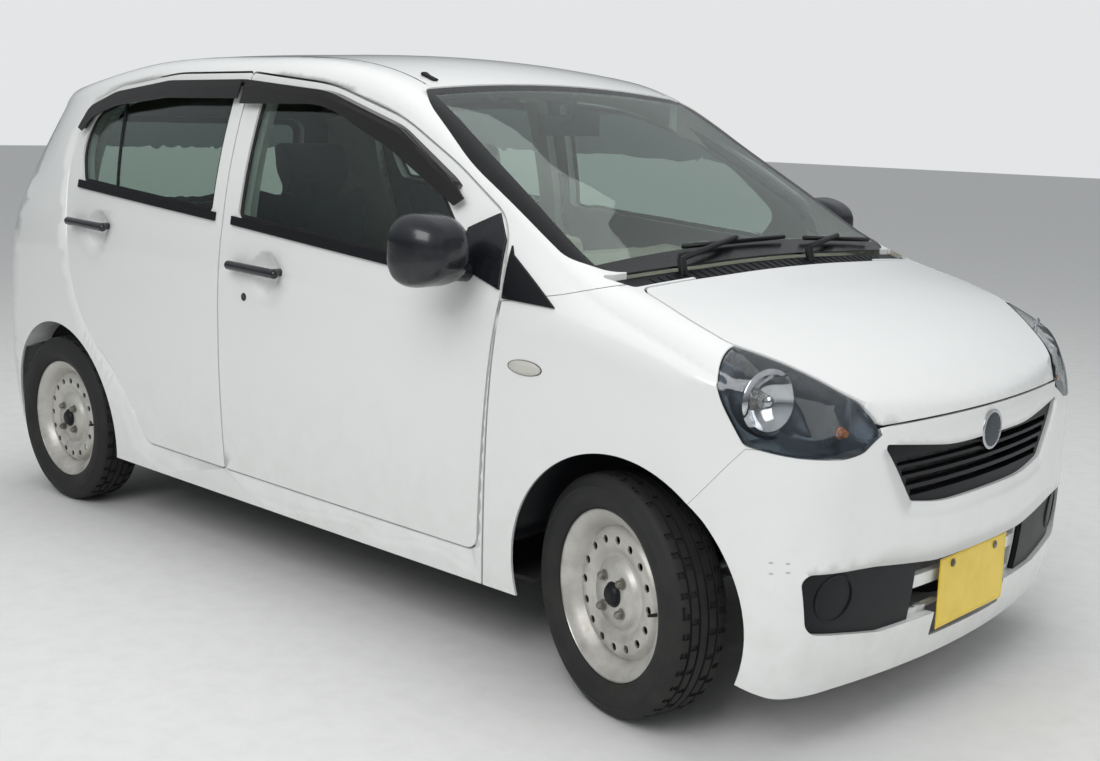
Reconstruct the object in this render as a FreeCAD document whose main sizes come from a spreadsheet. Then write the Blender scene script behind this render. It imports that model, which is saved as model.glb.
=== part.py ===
import FreeCAD, Part
import PartDesign
import Sketcher
import math
import os
from collections import namedtuple

# A five-door kei car, in millimetres. X points forward, Y to the car's left, Z up.
# The origin is on the ground, midway between the two ends. The front wheels stand
# steered a little to the right, as the car is parked.

doc = FreeCAD.newDocument("kei_car")
V = FreeCAD.Vector

# Driving dimensions: name, value, what it sets
DIMENSIONS = (
    ("wheelbase", 2455, "front axle to rear axle"),
    ("front_overhang", 510, "front axle to the nose"),
    ("rear_overhang", 430, "rear axle to the tail"),
    ("body_width", 1475, "over the doors, without mirrors"),
    ("roof_height", 1500, "ground to the top of the roof"),
    ("floor_height", 215, "ground to the underside of the floor"),
    ("track_front", 1305, "between the front tyres' middles"),
    ("track_rear", 1295, "between the rear tyres' middles"),
    ("tyre_radius", 277.5, "tread to axle"),
    ("tyre_width", 155, "over the side walls"),
    ("rim_radius", 178, "bead seat to axle"),
    ("rim_width", 116, "over the rim flanges"),
    ("wheel_offset", 38, "rim middle to the hub face"),
    ("stud_circle", 100, "diameter through the wheel studs"),
    ("hub_bore", 54, "diameter of the wheel's middle hole"),
    ("vent_circle", 250, "diameter through the wheel's vent holes"),
    ("vent_diameter", 19, "one vent hole"),
    ("vent_count", 16, "vent holes in a wheel"),
    ("arch_radius", 331, "wheel arch edge to axle"),
    ("liner_gap", 12, "arch edge out to the liner's inner skin"),
    ("liner_skin", 6, "wheel arch liner"),
    ("liner_wall", 408, "middle plane to the liners' end wall"),
    ("wall", 45, "doors, tailgate and body sides at the door edge"),
    ("pocket", 56, "outer skin in to the seat behind a door's edge"),
    ("side_depth", 92, "outer skin in to the body sides' inner face"),
    ("roof_thickness", 26, "roof panel with its lining"),
    ("bonnet_thickness", 20, "bonnet with its inner frame"),
    ("fender_thickness", 7, "front fenders"),
    ("bumper_thickness", 8, "bumper skins"),
    ("glass_inset", 9, "outer skin in to the glass"),
    ("glass_thickness", 5, "all panes"),
    ("glass_fit", 0.4, "between a pane's edge and its frame"),
    ("panel_gap", 5.6, "between neighbouring panels that move"),
    ("seam", 0.8, "between fixed panels"),
    ("seat_fit", 0.3, "between a piece and what it rests on"),
    ("screen_inset", 3, "outer skin in to the windscreen"),
    ("intake_depth", 26, "outer skin in to the intake's bars"),
    ("return_wall", 4, "walls that turn in around the nose openings"),
    ("lens_inset", 1.5, "outer skin in to a lamp's lens"),
    ("lens_thickness", 4, "lamp lenses"),
    ("lamp_depth", 70, "outer skin in to a tail lamp's back"),
    ("headlamp_depth", 72, "outer skin in to a headlamp's bowl"),
    ("seal_near", 25, "door edge in to its rubber seal"),
    ("seal_width", 7, "rubber door seals"),
    ("door_lap", 34, "how far the door edge covers the body's opening"),
    ("visor_reach", 24, "window visor out from the door skin"),
    ("steer_rest", 15, "degrees to the right, as parked"),
    ("kingpin_low", 608, "ball joint out from the middle plane"),
    ("kingpin_high", 528, "strut top out from the middle plane"),
    ("ball_height", 185, "ground to the ball joint"),
    ("strut_height", 600, "ground to the strut top"),
    ("strut_radius", 20, "front strut tube"),
    ("running_gap", 0.5, "around a pin or shaft that turns"),
    ("plate_width", 330, "number plate"),
    ("plate_height", 165, "number plate"),
    ("plate_bolts", 210, "between the plate's two bolts"),
    ("seat_width", 500, "front seat"),
    ("seat_gap", 160, "between the front seats"),
    ("engine_length", 360, "engine block, fore and aft"),
    ("engine_width", 560, "engine and gearbox, across"),
    ("engine_height", 430, "engine block"),
    ("steering_radius", 183, "steering wheel rim"),
)

sheet = doc.addObject("Spreadsheet::Sheet", "Sizes")
for row, (alias, value, meaning) in enumerate(DIMENSIONS, start=1):
    sheet.set("A%d" % row, alias)
    sheet.set("B%d" % row, str(value))
    sheet.set("C%d" % row, meaning)
    sheet.setAlias("B%d" % row, alias)
doc.recompute()


def size(alias):
    """Reads one driving dimension from the sheet."""
    return float(sheet.get(alias))


# Places worked out from the driving dimensions
LENGTH = size("front_overhang") + size("wheelbase") + size("rear_overhang")
NOSE_X = LENGTH / 2
FRONT_X = NOSE_X - size("front_overhang")
REAR_X = FRONT_X - size("wheelbase")
TAIL_X = -NOSE_X
HALF = size("body_width") / 2
HUB_Z = size("tyre_radius")

# The side and section drawings below are drawn at these sizes and stretched to the sheet's
DRAWN_FRONT, DRAWN_REAR = 1187.5, -1267.5
DRAWN_HALF, DRAWN_ROOF, DRAWN_BELT = 737.5, 1500.0, 900.0


def along(x):
    """Moves a drawn X to the sheet's wheelbase: overhangs keep their shape."""
    if x >= DRAWN_FRONT:
        return x - DRAWN_FRONT + FRONT_X
    if x <= DRAWN_REAR:
        return x - DRAWN_REAR + REAR_X
    return REAR_X + (x - DRAWN_REAR) * (FRONT_X - REAR_X) / (DRAWN_FRONT - DRAWN_REAR)


def upward(z):
    """Moves a drawn Z to the sheet's roof height: only what is above the belt stretches."""
    rise = (size("roof_height") - DRAWN_BELT) / (DRAWN_ROOF - DRAWN_BELT)
    return z if z < DRAWN_BELT else DRAWN_BELT + (z - DRAWN_BELT) * rise


def across(y):
    """Moves a drawn Y to the sheet's width."""
    return y * HALF / DRAWN_HALF


# Cross-sections of the outer skin from tail to nose. Each is a floor line, a barrelled
# side, a leaning window line, a rail arc and a roof or bonnet crown.
Station = namedtuple("Station", "x top crown rail_in rail_out drop belt_z belt_y side_y side_z")
STATIONS = (
    Station(-1760, 1330, 24, 480, 548, 88, 1005, 668, 700.0, 640),
    Station(-1400, 1410, 26, 515, 585, 92, 1005, 700, 728.0, 640),
    Station(-1000, 1474, 28, 535, 605, 94, 1003, 716, 736.5, 640),
    Station(-350, 1499, 29, 545, 615, 95, 1000, 719, 737.5, 640),
    Station(71, 1480, 28, 542, 612, 92, 990, 718, 737.5, 640),
    Station(320, 1416, 27, 535, 608, 88, 975, 717, 737.5, 640),
    Station(560, 1287, 29, 560, 628, 80, 955, 716, 737.0, 640),
    Station(800, 1149, 32, 590, 655, 78, 930, 717, 736.5, 640),
    Station(950, 1058, 30, 605, 672, 74, 905, 718, 736.5, 640),
    Station(1060, 1003, 26, 612, 684, 72, 885, 720, 736.5, 635),
    Station(1150, 972, 22, 612, 690, 74, 865, 720, 736.5, 620),
    Station(1280, 938, 24, 618, 700, 80, 835, 722, 737.0, 600),
    Station(1420, 892, 28, 632, 704, 84, 790, 722, 735.0, 560),
    Station(1560, 824, 34, 630, 700, 90, 715, 715, 724.0, 480),
    Station(1650, 758, 38, 620, 690, 90, 640, 700, 710.0, 400),
    Station(1760, 655, 38, 600, 670, 90, 545, 680, 690.0, 320),
)
SIDE_TUCK = 47
RAIL_BULGE, WINDOW_BULGE = 0.14, 0.03
LOW_Z, INNER_LOW_Z = 110, 102

# Plan outlines of the two ends by height: how far the nose and the tail reach
EndLevel = namedtuple("EndLevel", "z nose tail")
END_LEVELS = (
    EndLevel(95, 1636, -1628), EndLevel(200, 1674, -1662), EndLevel(330, 1693, -1688),
    EndLevel(450, 1697.4, -1697), EndLevel(600, 1697.4, -1697), EndLevel(715, 1683, -1691),
    EndLevel(800, 1640, -1678), EndLevel(900, 1560, -1652), EndLevel(1013, 1460, -1604),
    EndLevel(1235, 1300, -1508), EndLevel(1420, 1200, -1425), EndLevel(1600, 1100, -1350),
)
PlanCorner = namedtuple("PlanCorner", "face_y dip corner_back corner_y bulge")
NOSE_CORNER = PlanCorner(500, 48, 270, 724, 0.19)
TAIL_CORNER = PlanCorner(600, 45, 120, 724, 0.21)
PLAN_SIDE_Y = 800


def bulged(start, end, share):
    """Middle point of an arc from start to end that bulges to the right by a share of the chord."""
    dx, dy = end[0] - start[0], end[1] - start[1]
    return ((start[0] + end[0]) / 2 + dy * share, (start[1] + end[1]) / 2 - dx * share)


def arc_edge(start, middle, end):
    """Edge along a circle through three points."""
    return Part.Arc(start, middle, end).toShape()


def bent_edge(start, middle, end):
    """Edge along a parabola through three points: lofts through these stay light."""
    curve = Part.BezierCurve()
    curve.setPoles([start, middle * 2 - (start + end) * 0.5, end])
    return curve.toShape()


def chain(points, place, curved=arc_edge):
    """Wire through points: a pair is a corner, and a triple marks a curve's middle point."""
    edges = []
    last = points[0]
    middle = None
    for point in points[1:] + [points[0]]:
        if len(point) == 3:
            middle = point
            continue
        if middle is None:
            edges.append(Part.LineSegment(place(*last), place(*point)).toShape())
        else:
            edges.append(curved(place(*last), place(*middle[:2]), place(*point)))
        last, middle = point, None
    return Part.Wire(edges)


def section(station, inset, low):
    """One cross-section of the body, drawn inwards by inset."""
    s = station
    side_y = across(s.side_y) - inset
    top = upward(s.top) - inset
    foot = (side_y - SIDE_TUCK, low)
    belt = (across(s.belt_y) - inset, upward(s.belt_z))
    rail_out = (across(s.rail_out) - 0.85 * inset, upward(s.top - s.drop) - 0.5 * inset)
    rail_in = (across(s.rail_in) - 0.45 * inset, top - s.crown + 0.06 * inset)
    window = bulged(belt, rail_out, WINDOW_BULGE)
    rail = bulged(rail_out, rail_in, RAIL_BULGE)
    right = [foot, (side_y, s.side_z, "arc"), belt, (*window, "arc"), rail_out, (*rail, "arc"), rail_in]
    left = [(-point[0], *point[1:]) for point in reversed(right)]
    return chain(right + [(0, top, "arc")] + left, lambda y, z: V(along(s.x), y, z), bent_edge)


def plan(level, inset):
    """One horizontal outline of both ends, drawn inwards by inset."""
    quarter = {}
    for way, x, corner in ((1, along(level.nose), NOSE_CORNER), (-1, along(level.tail), TAIL_CORNER)):
        tip = x - way * inset
        face = (tip - way * corner.dip, across(corner.face_y) - 0.3 * inset)
        edge = (tip - way * corner.corner_back, across(corner.corner_y) - inset)
        middle = bulged(face, edge, way * corner.bulge)
        shoulder = (edge[0] - way * 300, PLAN_SIDE_Y)
        quarter[way] = (tip, face, middle, edge, shoulder)
    outline = []
    for way, side in ((1, 1), (-1, 1), (-1, -1), (1, -1)):
        tip, face, middle, edge, shoulder = quarter[way]
        points = [(tip, 0, "arc")] if way * side > 0 else []
        points += [face, (*middle, "arc"), edge, shoulder]
        points = points if way * side > 0 else points[::-1]
        outline += [(point[0], side * point[1], *point[2:]) for point in points]
    outline = outline[1:] + outline[:1]
    return chain(outline, lambda x, y: V(x, y, upward(level.z)), bent_edge)


barrels = {}
envelopes = {}


def barrel(inset):
    """The car's sides, roof and bonnet as one long form, drawn inwards by inset."""
    if inset not in barrels:
        low = INNER_LOW_Z if inset else LOW_Z
        barrels[inset] = Part.makeLoft([section(station, inset, low) for station in STATIONS], True, False)
    return barrels[inset]


def envelope(inset):
    """The whole outer form of the car with both its ends, drawn inwards by inset."""
    if inset not in envelopes:
        ends = Part.makeLoft([plan(level, inset) for level in END_LEVELS], True, False)
        envelopes[inset] = barrel(inset).common(ends)
    return envelopes[inset]


def rounded(corners):
    """Closed outline through corners (a, b, radius), with each corner rounded to its radius."""
    points = []
    for index, (a, b, radius) in enumerate(corners):
        before, after = corners[index - 1], corners[(index + 1) % len(corners)]
        if radius == 0:
            points.append((a, b))
            continue
        inward, outward = (before[0] - a, before[1] - b), (after[0] - a, after[1] - b)
        reach_in, reach_out = math.hypot(*inward), math.hypot(*outward)
        one = (inward[0] / reach_in, inward[1] / reach_in)
        two = (outward[0] / reach_out, outward[1] / reach_out)
        turn = math.acos(max(-1, min(1, one[0] * two[0] + one[1] * two[1])))
        back = min(radius / math.tan(turn / 2), 0.48 * reach_in, 0.48 * reach_out)
        curve = back * math.tan(turn / 2)
        bisector = math.hypot(one[0] + two[0], one[1] + two[1])
        depth = curve / math.sin(turn / 2) - curve
        points.append((a + one[0] * back, b + one[1] * back))
        arm = depth / bisector
        points.append((a + (one[0] + two[0]) * arm, b + (one[1] + two[1]) * arm, "arc"))
        points.append((a + two[0] * back, b + two[1] * back))
    return points


def side_face(corners, grow=0.0):
    """Flat face in the side view from corners (x, z, radius), grown by grow."""
    placed = [(along(x), upward(z), radius) for x, z, radius in corners]
    wire = chain(rounded(placed), lambda x, z: V(x, 0, z))
    if grow:
        wire = wire.makeOffset2D(grow)
    return Part.Face(wire)


def side_prism(corners, grow=0.0, inner=0.0, outer=900.0, left=False):
    """Solid through one body side from a side-view outline, between two distances from the middle."""
    way = 1 if left else -1
    prism = side_face(corners, grow).extrude(V(0, way * (outer - inner), 0))
    prism.translate(V(0, way * inner, 0))
    return prism


def box(low, high):
    """Box from its lowest to its highest corner."""
    return Part.makeBox(high[0] - low[0], high[1] - low[1], high[2] - low[2], V(*low))


def mirrored(shape):
    """The same piece on the car's other side."""
    return shape.mirror(V(0, 0, 0), V(0, 1, 0))


def rod(radius, start, end):
    """Round bar from one point to another."""
    start, end = V(*start), V(*end)
    return Part.makeCylinder(radius, (end - start).Length, start, end - start)


def plan_prism(corners, grow=0.0, low=LOW_Z, high=1700):
    """Upright solid from a plan outline of corners (x, y, radius), grown by grow."""
    placed = [(along(x), across(y), radius) for x, y, radius in corners]
    wire = chain(rounded(placed), lambda x, y: V(x, y, low))
    if grow:
        wire = wire.makeOffset2D(grow)
    return Part.Face(wire).extrude(V(0, 0, high - low))


def end_prism(corners, x_start, x_end, grow=0.0):
    """Solid along the car from a front-view outline of corners (y, z, radius), grown by grow."""
    placed = [(across(y), upward(z), radius) for y, z, radius in corners]
    wire = chain(rounded(placed), lambda y, z: V(x_start, y, z))
    if grow:
        wire = wire.makeOffset2D(grow)
    return Part.Face(wire).extrude(V(x_end - x_start, 0, 0))


def both_halves(corners, flipped=0):
    """A symmetric outline from one half, mirrored in the corner's value at place flipped."""
    other = []
    for corner in reversed(corners):
        values = list(corner)
        values[flipped] = -values[flipped]
        other.append(tuple(values))
    return tuple(corners) + tuple(other)


nodes = {}


def add_feature(name, shape):
    """Puts a finished shape into the document as a sub-part."""
    feature = doc.addObject("Part::Feature", name)
    feature.Shape = shape
    feature.Label = name
    nodes[name] = feature
    return feature


def keep(name, feature):
    """Names a feature of the document as a sub-part."""
    feature.Label = name
    nodes[name] = feature
    return feature


# Outlines in the side view: corners (x, z, radius)
FRONT_DOOR = ((-319, 285, 12), (740, 283, 42), (813, 907, 90), (788, 1045, 120), (752, 1098, 160),
              (570, 1204, 900), (350, 1312, 700), (57, 1396, 700), (-305, 1427, 14), (-305, 700, 900))
REAR_DOOR = ((-319, 285, 12), (-305, 700, 900), (-305, 1427, 14), (-700, 1424, 900), (-1010, 1386, 260),
             (-1150, 1340, 120), (-1206, 1235, 160), (-1218, 1100, 400), (-1192, 968, 400),
             (-1135, 729, 500), (-1040, 600, 400), (-864, 470, 400), (-740, 288, 60))
FRONT_WINDOW = ((-236, 1022, 22), (560, 962, 30), (640, 1050, 40), (520, 1168, 400), (330, 1272, 500),
                (57, 1352, 500), (-226, 1376, 26))
REAR_WINDOW = ((-361, 1029, 20), (-361, 1376, 26), (-700, 1374, 900), (-985, 1340, 200), (-1120, 1300, 90),
               (-1160, 1190, 160), (-1108, 1078, 30))
BODY_SIDE = ((-1800, 1650, 0), (1112, 1650, 0), (1112, 968, 0), (985, 936, 0), (815, 905, 0), (757, 290, 0),
             (748, 200, 0), (-1200, 200, 0), (-1490, 480, 0), (-1800, 600, 0))
FENDER_SIDE = ((820, 904, 0), (985, 935, 0), (1113, 967, 0), (1113, 1100, 0), (1560, 1100, 0), (1560, 677, 0),
               (1503, 677, 0), (1385, 540, 0), (1187, 300, 0), (870, 200, 0), (754, 200, 0), (763, 290, 0))
NOSE_SIDE = ((1187, 300, 0), (1385, 539, 0), (1503, 676, 0), (1600, 676, 0), (1650, 706, 0), (1800, 706, 0),
             (1800, 128, 0), (1560, 134, 60), (1480, 178, 40), (1350, 178, 0))
TAIL_SIDE = ((-1270, 460, 0), (-1490, 479, 0), (-1800, 599, 0), (-1800, 190, 0), (-1500, 200, 30),
             (-1350, 200, 0))
BONNET_SIDE = ((1050, 860, 0), (1640, 711, 0), (1800, 711, 0), (1800, 1150, 0), (1050, 1150, 0))
HEADLAMP_SIDE = ((1404, 882, 18), (1432, 780, 220), (1498, 682, 24), (1580, 664, 200), (1648, 652, 14),
                 (1656, 700, 10), (1656, 880, 0), (1600, 960, 0), (1450, 960, 0))
# Outlines from above: corners (x, y, radius)
SIDE_PLAN = ((-1800, -445, 0), (-1397, -445, 0), (-1397, -498, 0), (330, -498, 0), (1000, -560, 0),
             (1190, -560, 0), (1190, -900, 0), (-1800, -900, 0))
WINDSCREEN_PLAN = both_halves(((322, 520, 40), (390, 566, 300), (600, 617, 700), (960, 650, 120),
                               (1050, 600, 90), (1066, 300, 900)), 1)
COWL_PLAN = both_halves(((1069, 300, 900), (1053, 603, 60), (1040, 640, 20), (1118, 606, 20),
                         (1126, 300, 900)), 1)
BONNET_PLAN = both_halves(((1136, 300, 900), (1128, 598, 36), (1300, 632, 500), (1398, 632, 70),
                           (1486, 566, 220), (1604, 484, 220), (1656, 408, 150), (1800, 388, 0)), 1)
# Outlines from the front or the rear: corners (y, z, radius)
GRILLE_FRONT = both_halves(((200, 514, 900), (322, 534, 24), (426, 672, 8), (180, 642, 700)))
INTAKE_FRONT = both_halves(((380, 248, 60), (604, 284, 40), (628, 418, 22), (430, 408, 400), (210, 382, 500)))
TAILGATE_REAR = both_halves(((588, 606, 50), (606, 900, 400), (572, 1130, 300), (486, 1400, 60),
                             (470, 1600, 0)))
REAR_SCREEN = both_halves(((480, 968, 60), (468, 1040, 200), (420, 1290, 70)))
PLATE_NOTCH = both_halves(((-174, 188, 8), (-174, 300, 0)))
TAIL_LAMP_REAR = ((612, 800, 18), (616, 1000, 120), (596, 1090, 24), (760, 1120, 0), (800, 1000, 0),
                  (760, 780, 0))

gap_half = size("panel_gap") / 2
seam = size("seam")
OUT, INNER_LIMIT = 900, 400


def across_prism(corners, grow=0.0):
    """Solid right across the car from a side-view outline."""
    prism = side_face(corners, grow).extrude(V(0, 2 * OUT, 0))
    prism.translate(V(0, -OUT, 0))
    return prism


# Wheel arches: the right side's cylinders, from outside the skin in to the liners' end wall
def arch(axle_x, radius, inner, outer=OUT):
    """Cylinder about an axle on the right side, between two distances from the middle."""
    return Part.makeCylinder(radius, outer - inner, V(axle_x, -inner, HUB_Z), V(0, -1, 0))


# Door handles' middles, and the shallow round hollow for the fingers behind each
HANDLES = {"front": (-118, 892), "rear": (-1016, 952)}
HANDLE_SKIN = {"front": 725, "rear": 719}
FINGER_BALL, FINGER_DEPTH, FINGER_AHEAD = 110, 14, 30
finger_room = []
for end, (x, z) in HANDLES.items():
    out = -across(HANDLE_SKIN[end]) - FINGER_BALL + FINGER_DEPTH
    finger_room.append(Part.makeSphere(FINGER_BALL, V(along(x) + FINGER_AHEAD, out, z)))


def door(outline, window):
    """One door: the whole thickness of the body side inside its outline, with its window cut."""
    panel = barrel(0).common(side_prism(outline, -gap_half, INNER_LIMIT)).cut(barrel(size("wall")))
    return panel.cut(side_prism(window, 0, INNER_LIMIT)).cut(finger_room)


def pane(skin, tool, inset):
    """A sheet of glass that follows the skin inside a tool."""
    return skin(inset).common(tool).cut(skin(inset + size("glass_thickness")))


side_pieces = {
    "front_door": door(FRONT_DOOR, FRONT_WINDOW),
    "rear_door": door(REAR_DOOR, REAR_WINDOW),
    "front_door_glass": pane(barrel, side_prism(FRONT_WINDOW, -size("glass_fit"), INNER_LIMIT),
                             size("glass_inset")),
    "rear_door_glass": pane(barrel, side_prism(REAR_WINDOW, -size("glass_fit"), INNER_LIMIT),
                            size("glass_inset")),
}

REAR_PLATE_X, REAR_PLATE_Z = along(-1677), 742

# Tailgate with its window, from the roof's rear edge down to the bumper
TAIL_HINGE_X = along(-1397)


def tail_tool(grow, outline=TAILGATE_REAR, start=TAIL_HINGE_X - gap_half):
    """Solid behind the roof's rear edge inside a rear-view outline."""
    return end_prism(outline, start + grow, TAIL_X - 100, grow)


tail_shell = envelope(0).common(tail_tool(-gap_half)).cut(envelope(size("wall")))
recess_half, recess_rise = size("plate_width") / 2 + 12, size("plate_height") / 2 + 12
plate_recess = box((TAIL_X - 40, -recess_half, REAR_PLATE_Z - recess_rise),
                   (REAR_PLATE_X, recess_half, REAR_PLATE_Z + recess_rise))
tailgate = tail_shell.cut(tail_tool(0, REAR_SCREEN)).cut(plate_recess)
tailgate_glass = pane(envelope, tail_tool(-size("glass_fit"), REAR_SCREEN), size("glass_inset"))
add_feature("tailgate", tailgate)
add_feature("tailgate_glass", tailgate_glass)

# Body side: sill, pillars, roof rail and rear quarter in one thick pressing
TAIL_LAMP_START = along(-1585)
lamp_tool = end_prism(TAIL_LAMP_REAR, TAIL_LAMP_START, TAIL_X - 100)
lamp_tool = mirrored(lamp_tool)
windscreen_tool = plan_prism(WINDSCREEN_PLAN, 0, upward(905), 1700)
rear_arch = arch(REAR_X, size("arch_radius"), INNER_LIMIT)
front_arch = arch(FRONT_X, size("arch_radius"), INNER_LIMIT)
side_region = side_prism(BODY_SIDE, 0, INNER_LIMIT).common(plan_prism(SIDE_PLAN))
for tool in (windscreen_tool, rear_arch, plan_prism(COWL_PLAN, 0, upward(880), 1700), tail_tool(gap_half)):
    side_region = side_region.cut(tool)
for outline in (FRONT_DOOR, REAR_DOOR):
    side_region = side_region.cut(side_prism(outline, -size("door_lap"), INNER_LIMIT - 50))
# The inner form stops short of the tail, so the rear pillar is a full block there
hollow = barrel(size("side_depth")).cut(box((-1900, -OUT, 0), (along(-1545), OUT, 1700)))
half_shell = envelope(0).common(box((-1800, -OUT, 0), (1800, -430, 1700))).cut(hollow)
bodyside = half_shell.common(side_region)
for outline in (FRONT_DOOR, REAR_DOOR):
    bodyside = bodyside.cut(side_prism(outline, gap_half, INNER_LIMIT + 60).cut(barrel(size("pocket"))))
bodyside = bodyside.cut(lamp_tool.cut(envelope(size("lamp_depth"))))
side_pieces["bodyside"] = bodyside

# Roof, windscreen, cowl and bonnet
ROOF_PLAN = both_halves(((-1397, 498, 0), (321, 498, 0)), 1)
roof_tool = plan_prism(ROOF_PLAN, -seam)
add_feature("roof_panel", barrel(0).common(roof_tool).cut(barrel(size("roof_thickness"))))
screen_tool = plan_prism(WINDSCREEN_PLAN, -size("glass_fit"), upward(905), 1700)
add_feature("windscreen", pane(barrel, screen_tool, size("screen_inset")))
bonnet_tool = plan_prism(BONNET_PLAN, -gap_half).common(across_prism(BONNET_SIDE))
add_feature("bonnet", envelope(0).common(bonnet_tool).cut(envelope(size("bonnet_thickness"))))

# Nose skin: bumper with the band under the bonnet, grille and intake openings, lamp cut-outs
bonnet_hole = plan_prism(BONNET_PLAN, gap_half)
headlamp_tool = side_prism(HEADLAMP_SIDE, 0, INNER_LIMIT).cut(bonnet_hole)
headlamp_all = headlamp_tool.fuse(mirrored(headlamp_tool))
arches = front_arch.fuse(mirrored(front_arch))
grille_tool = end_prism(GRILLE_FRONT, NOSE_X - 160, NOSE_X + 60)
intake_tool = end_prism(INTAKE_FRONT, NOSE_X - 160, NOSE_X + 60)
nose_region = across_prism(NOSE_SIDE).cut(Part.makeCompound([arches, headlamp_all]))
bumper = envelope(0).common(nose_region).cut(envelope(size("bumper_thickness")))
FRONT_PLATE_X, FRONT_PLATE_Z = along(1676), 287
notch_tool = end_prism(PLATE_NOTCH, NOSE_X - 60, NOSE_X + 60)
room_half, room_rise = size("plate_width") / 2 + 2, size("plate_height") / 2 + 2
plate_room = box((FRONT_PLATE_X - 1, -room_half, FRONT_PLATE_Z - room_rise),
                 (NOSE_X + 60, room_half, FRONT_PLATE_Z + room_rise))
bumper = bumper.cut(grille_tool).cut(intake_tool)
fender_holes = Part.makeCompound([bonnet_hole, front_arch, headlamp_tool])
fender_tool = side_prism(FENDER_SIDE, 0, INNER_LIMIT).cut(fender_holes)
fender_tool = fender_tool.cut(plan_prism(COWL_PLAN, 0, upward(880), 1700))
fender = envelope(0).common(fender_tool).cut(envelope(size("fender_thickness")))
side_pieces["front_fender"] = fender

# Tail skin
tail_region = across_prism(TAIL_SIDE).cut(rear_arch.fuse(mirrored(rear_arch)))
add_feature("rear_bumper", envelope(0).common(tail_region).cut(envelope(size("bumper_thickness"))))

for name, shape in side_pieces.items():
    add_feature(name + "_right", shape)
    add_feature(name + "_left", mirrored(shape))

# Lamps: a clear lens over a bowl at the front, a coloured block at the rear
lens_tool = side_prism(HEADLAMP_SIDE, -seam, INNER_LIMIT + 6).cut(plan_prism(BONNET_PLAN, gap_half + seam))
lens_in, lens_back = size("lens_inset"), size("lens_inset") + size("lens_thickness")
headlamp_lens = envelope(lens_in).common(lens_tool).cut(envelope(lens_back))
bowl_skin, bowl_depth = size("lens_thickness"), size("headlamp_depth")
bowl_room = side_prism(HEADLAMP_SIDE, -seam - bowl_skin, INNER_LIMIT).cut(
    plan_prism(BONNET_PLAN, gap_half + seam + bowl_skin)).cut(envelope(bowl_depth))
headlamp_bowl = envelope(lens_back + size("seat_fit")).common(lens_tool).cut(envelope(bowl_depth + bowl_skin))
headlamp_bowl = headlamp_bowl.cut(bowl_room)
for name, shape in (("headlamp_lenses", headlamp_lens), ("headlamp_bowls", headlamp_bowl)):
    add_feature(name, Part.makeCompound([shape, mirrored(shape)]))
lamp_fit = mirrored(end_prism(TAIL_LAMP_REAR, TAIL_LAMP_START - seam, TAIL_X - 100, -seam))
tail_lamp = envelope(0).common(lamp_fit).cut(envelope(size("lamp_depth") - seam))
tail_lamp = tail_lamp.cut(tail_tool(gap_half))
add_feature("tail_lamps", Part.makeCompound([tail_lamp, mirrored(tail_lamp)]))

# Rubber seals that the closed doors and the tailgate lie on
door_seals = []
# The front door's leading edge swings in here, so its seal is left open beside the hinges
hinge_side = box((along(752), -OUT, upward(835)), (along(830), 0, upward(1045)))
for outline in (FRONT_DOOR, REAR_DOOR):
    near = side_prism(outline, -size("seal_near"), INNER_LIMIT)
    ring = near.cut(side_prism(outline, -size("seal_near") - size("seal_width"), INNER_LIMIT - 20))
    strip = barrel(size("wall") + size("seat_fit")).common(ring)
    strip = strip.cut(barrel(size("pocket") - size("seat_fit"))).cut(hinge_side)
    door_seals += [strip, mirrored(strip)]
# The shut tailgate lies on two rubber stops on the wall behind the boot
for y in (-400, 400):
    stop = rod(14, (along(-1572) - size("seat_fit"), across(y), 648), (TAIL_X, across(y), 648))
    door_seals.append(stop.common(envelope(size("wall") + size("seat_fit"))))
add_feature("door_seals", Part.makeCompound(door_seals))

# Wheel arch liners: half rings over each wheel with an end wall towards the middle
liner_in = size("arch_radius") + size("liner_gap")
liner_out = liner_in + size("liner_skin")


def liner(axle_x, wall_y, low):
    """The skin over one right wheel, from the outer panel to its end wall."""
    ring = arch(axle_x, liner_out, wall_y).cut(arch(axle_x, liner_in, wall_y + size("liner_skin")))
    return ring.cut(box((axle_x - 500, -OUT, -200), (axle_x + 500, 0, low)))


front_liner = liner(FRONT_X, size("liner_wall"), 330)
front_liner = front_liner.common(envelope(size("bumper_thickness") + size("seat_fit")))
rear_wall = size("track_rear") / 2 - 130
rear_liner = liner(REAR_X, rear_wall, 300).common(barrel(size("side_depth") + size("seat_fit")))

# Floor with its tunnel, rear kick-up and tail wall, cut round the wheel arches
FLOOR_SIDE = ((1004, 215), (700, 215), (-430, 215), (-480, 330), (-900, 330), (-960, 420), (-1560, 420),
              (-1560, 668), (-1572, 668), (-1572, 408), (-966, 408), (-906, 318), (-488, 318), (-438, 203),
              (700, 203), (1016, 203), (1016, 940), (1004, 940))
floor_side = [(along(x), z + size("floor_height") - 215) for x, z in FLOOR_SIDE]
floor = Part.Face(chain(floor_side, lambda x, z: V(x, -700, z))).extrude(V(0, 1400, 0))
floor_core = barrel(size("side_depth") + size("seat_fit"))
arch_clear = [arch(FRONT_X, liner_out + size("seat_fit"), size("liner_wall") - size("seat_fit")),
              arch(REAR_X, liner_out + size("seat_fit"), rear_wall - size("seat_fit"))]
floor = floor.cut(Part.makeCompound(arch_clear + [mirrored(shape) for shape in arch_clear]))
tail_block = box((-1900, -OUT, 0), (along(-1545) + size("seat_fit"), size("seat_fit") - across(445), 1700))
floor = floor_core.common(floor).cut([tail_block, mirrored(tail_block)])
add_feature("floor_and_bulkhead", floor)
add_feature("wheel_arch_liners", Part.makeCompound([front_liner, mirrored(front_liner), rear_liner,
                                                    mirrored(rear_liner)]))

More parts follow.
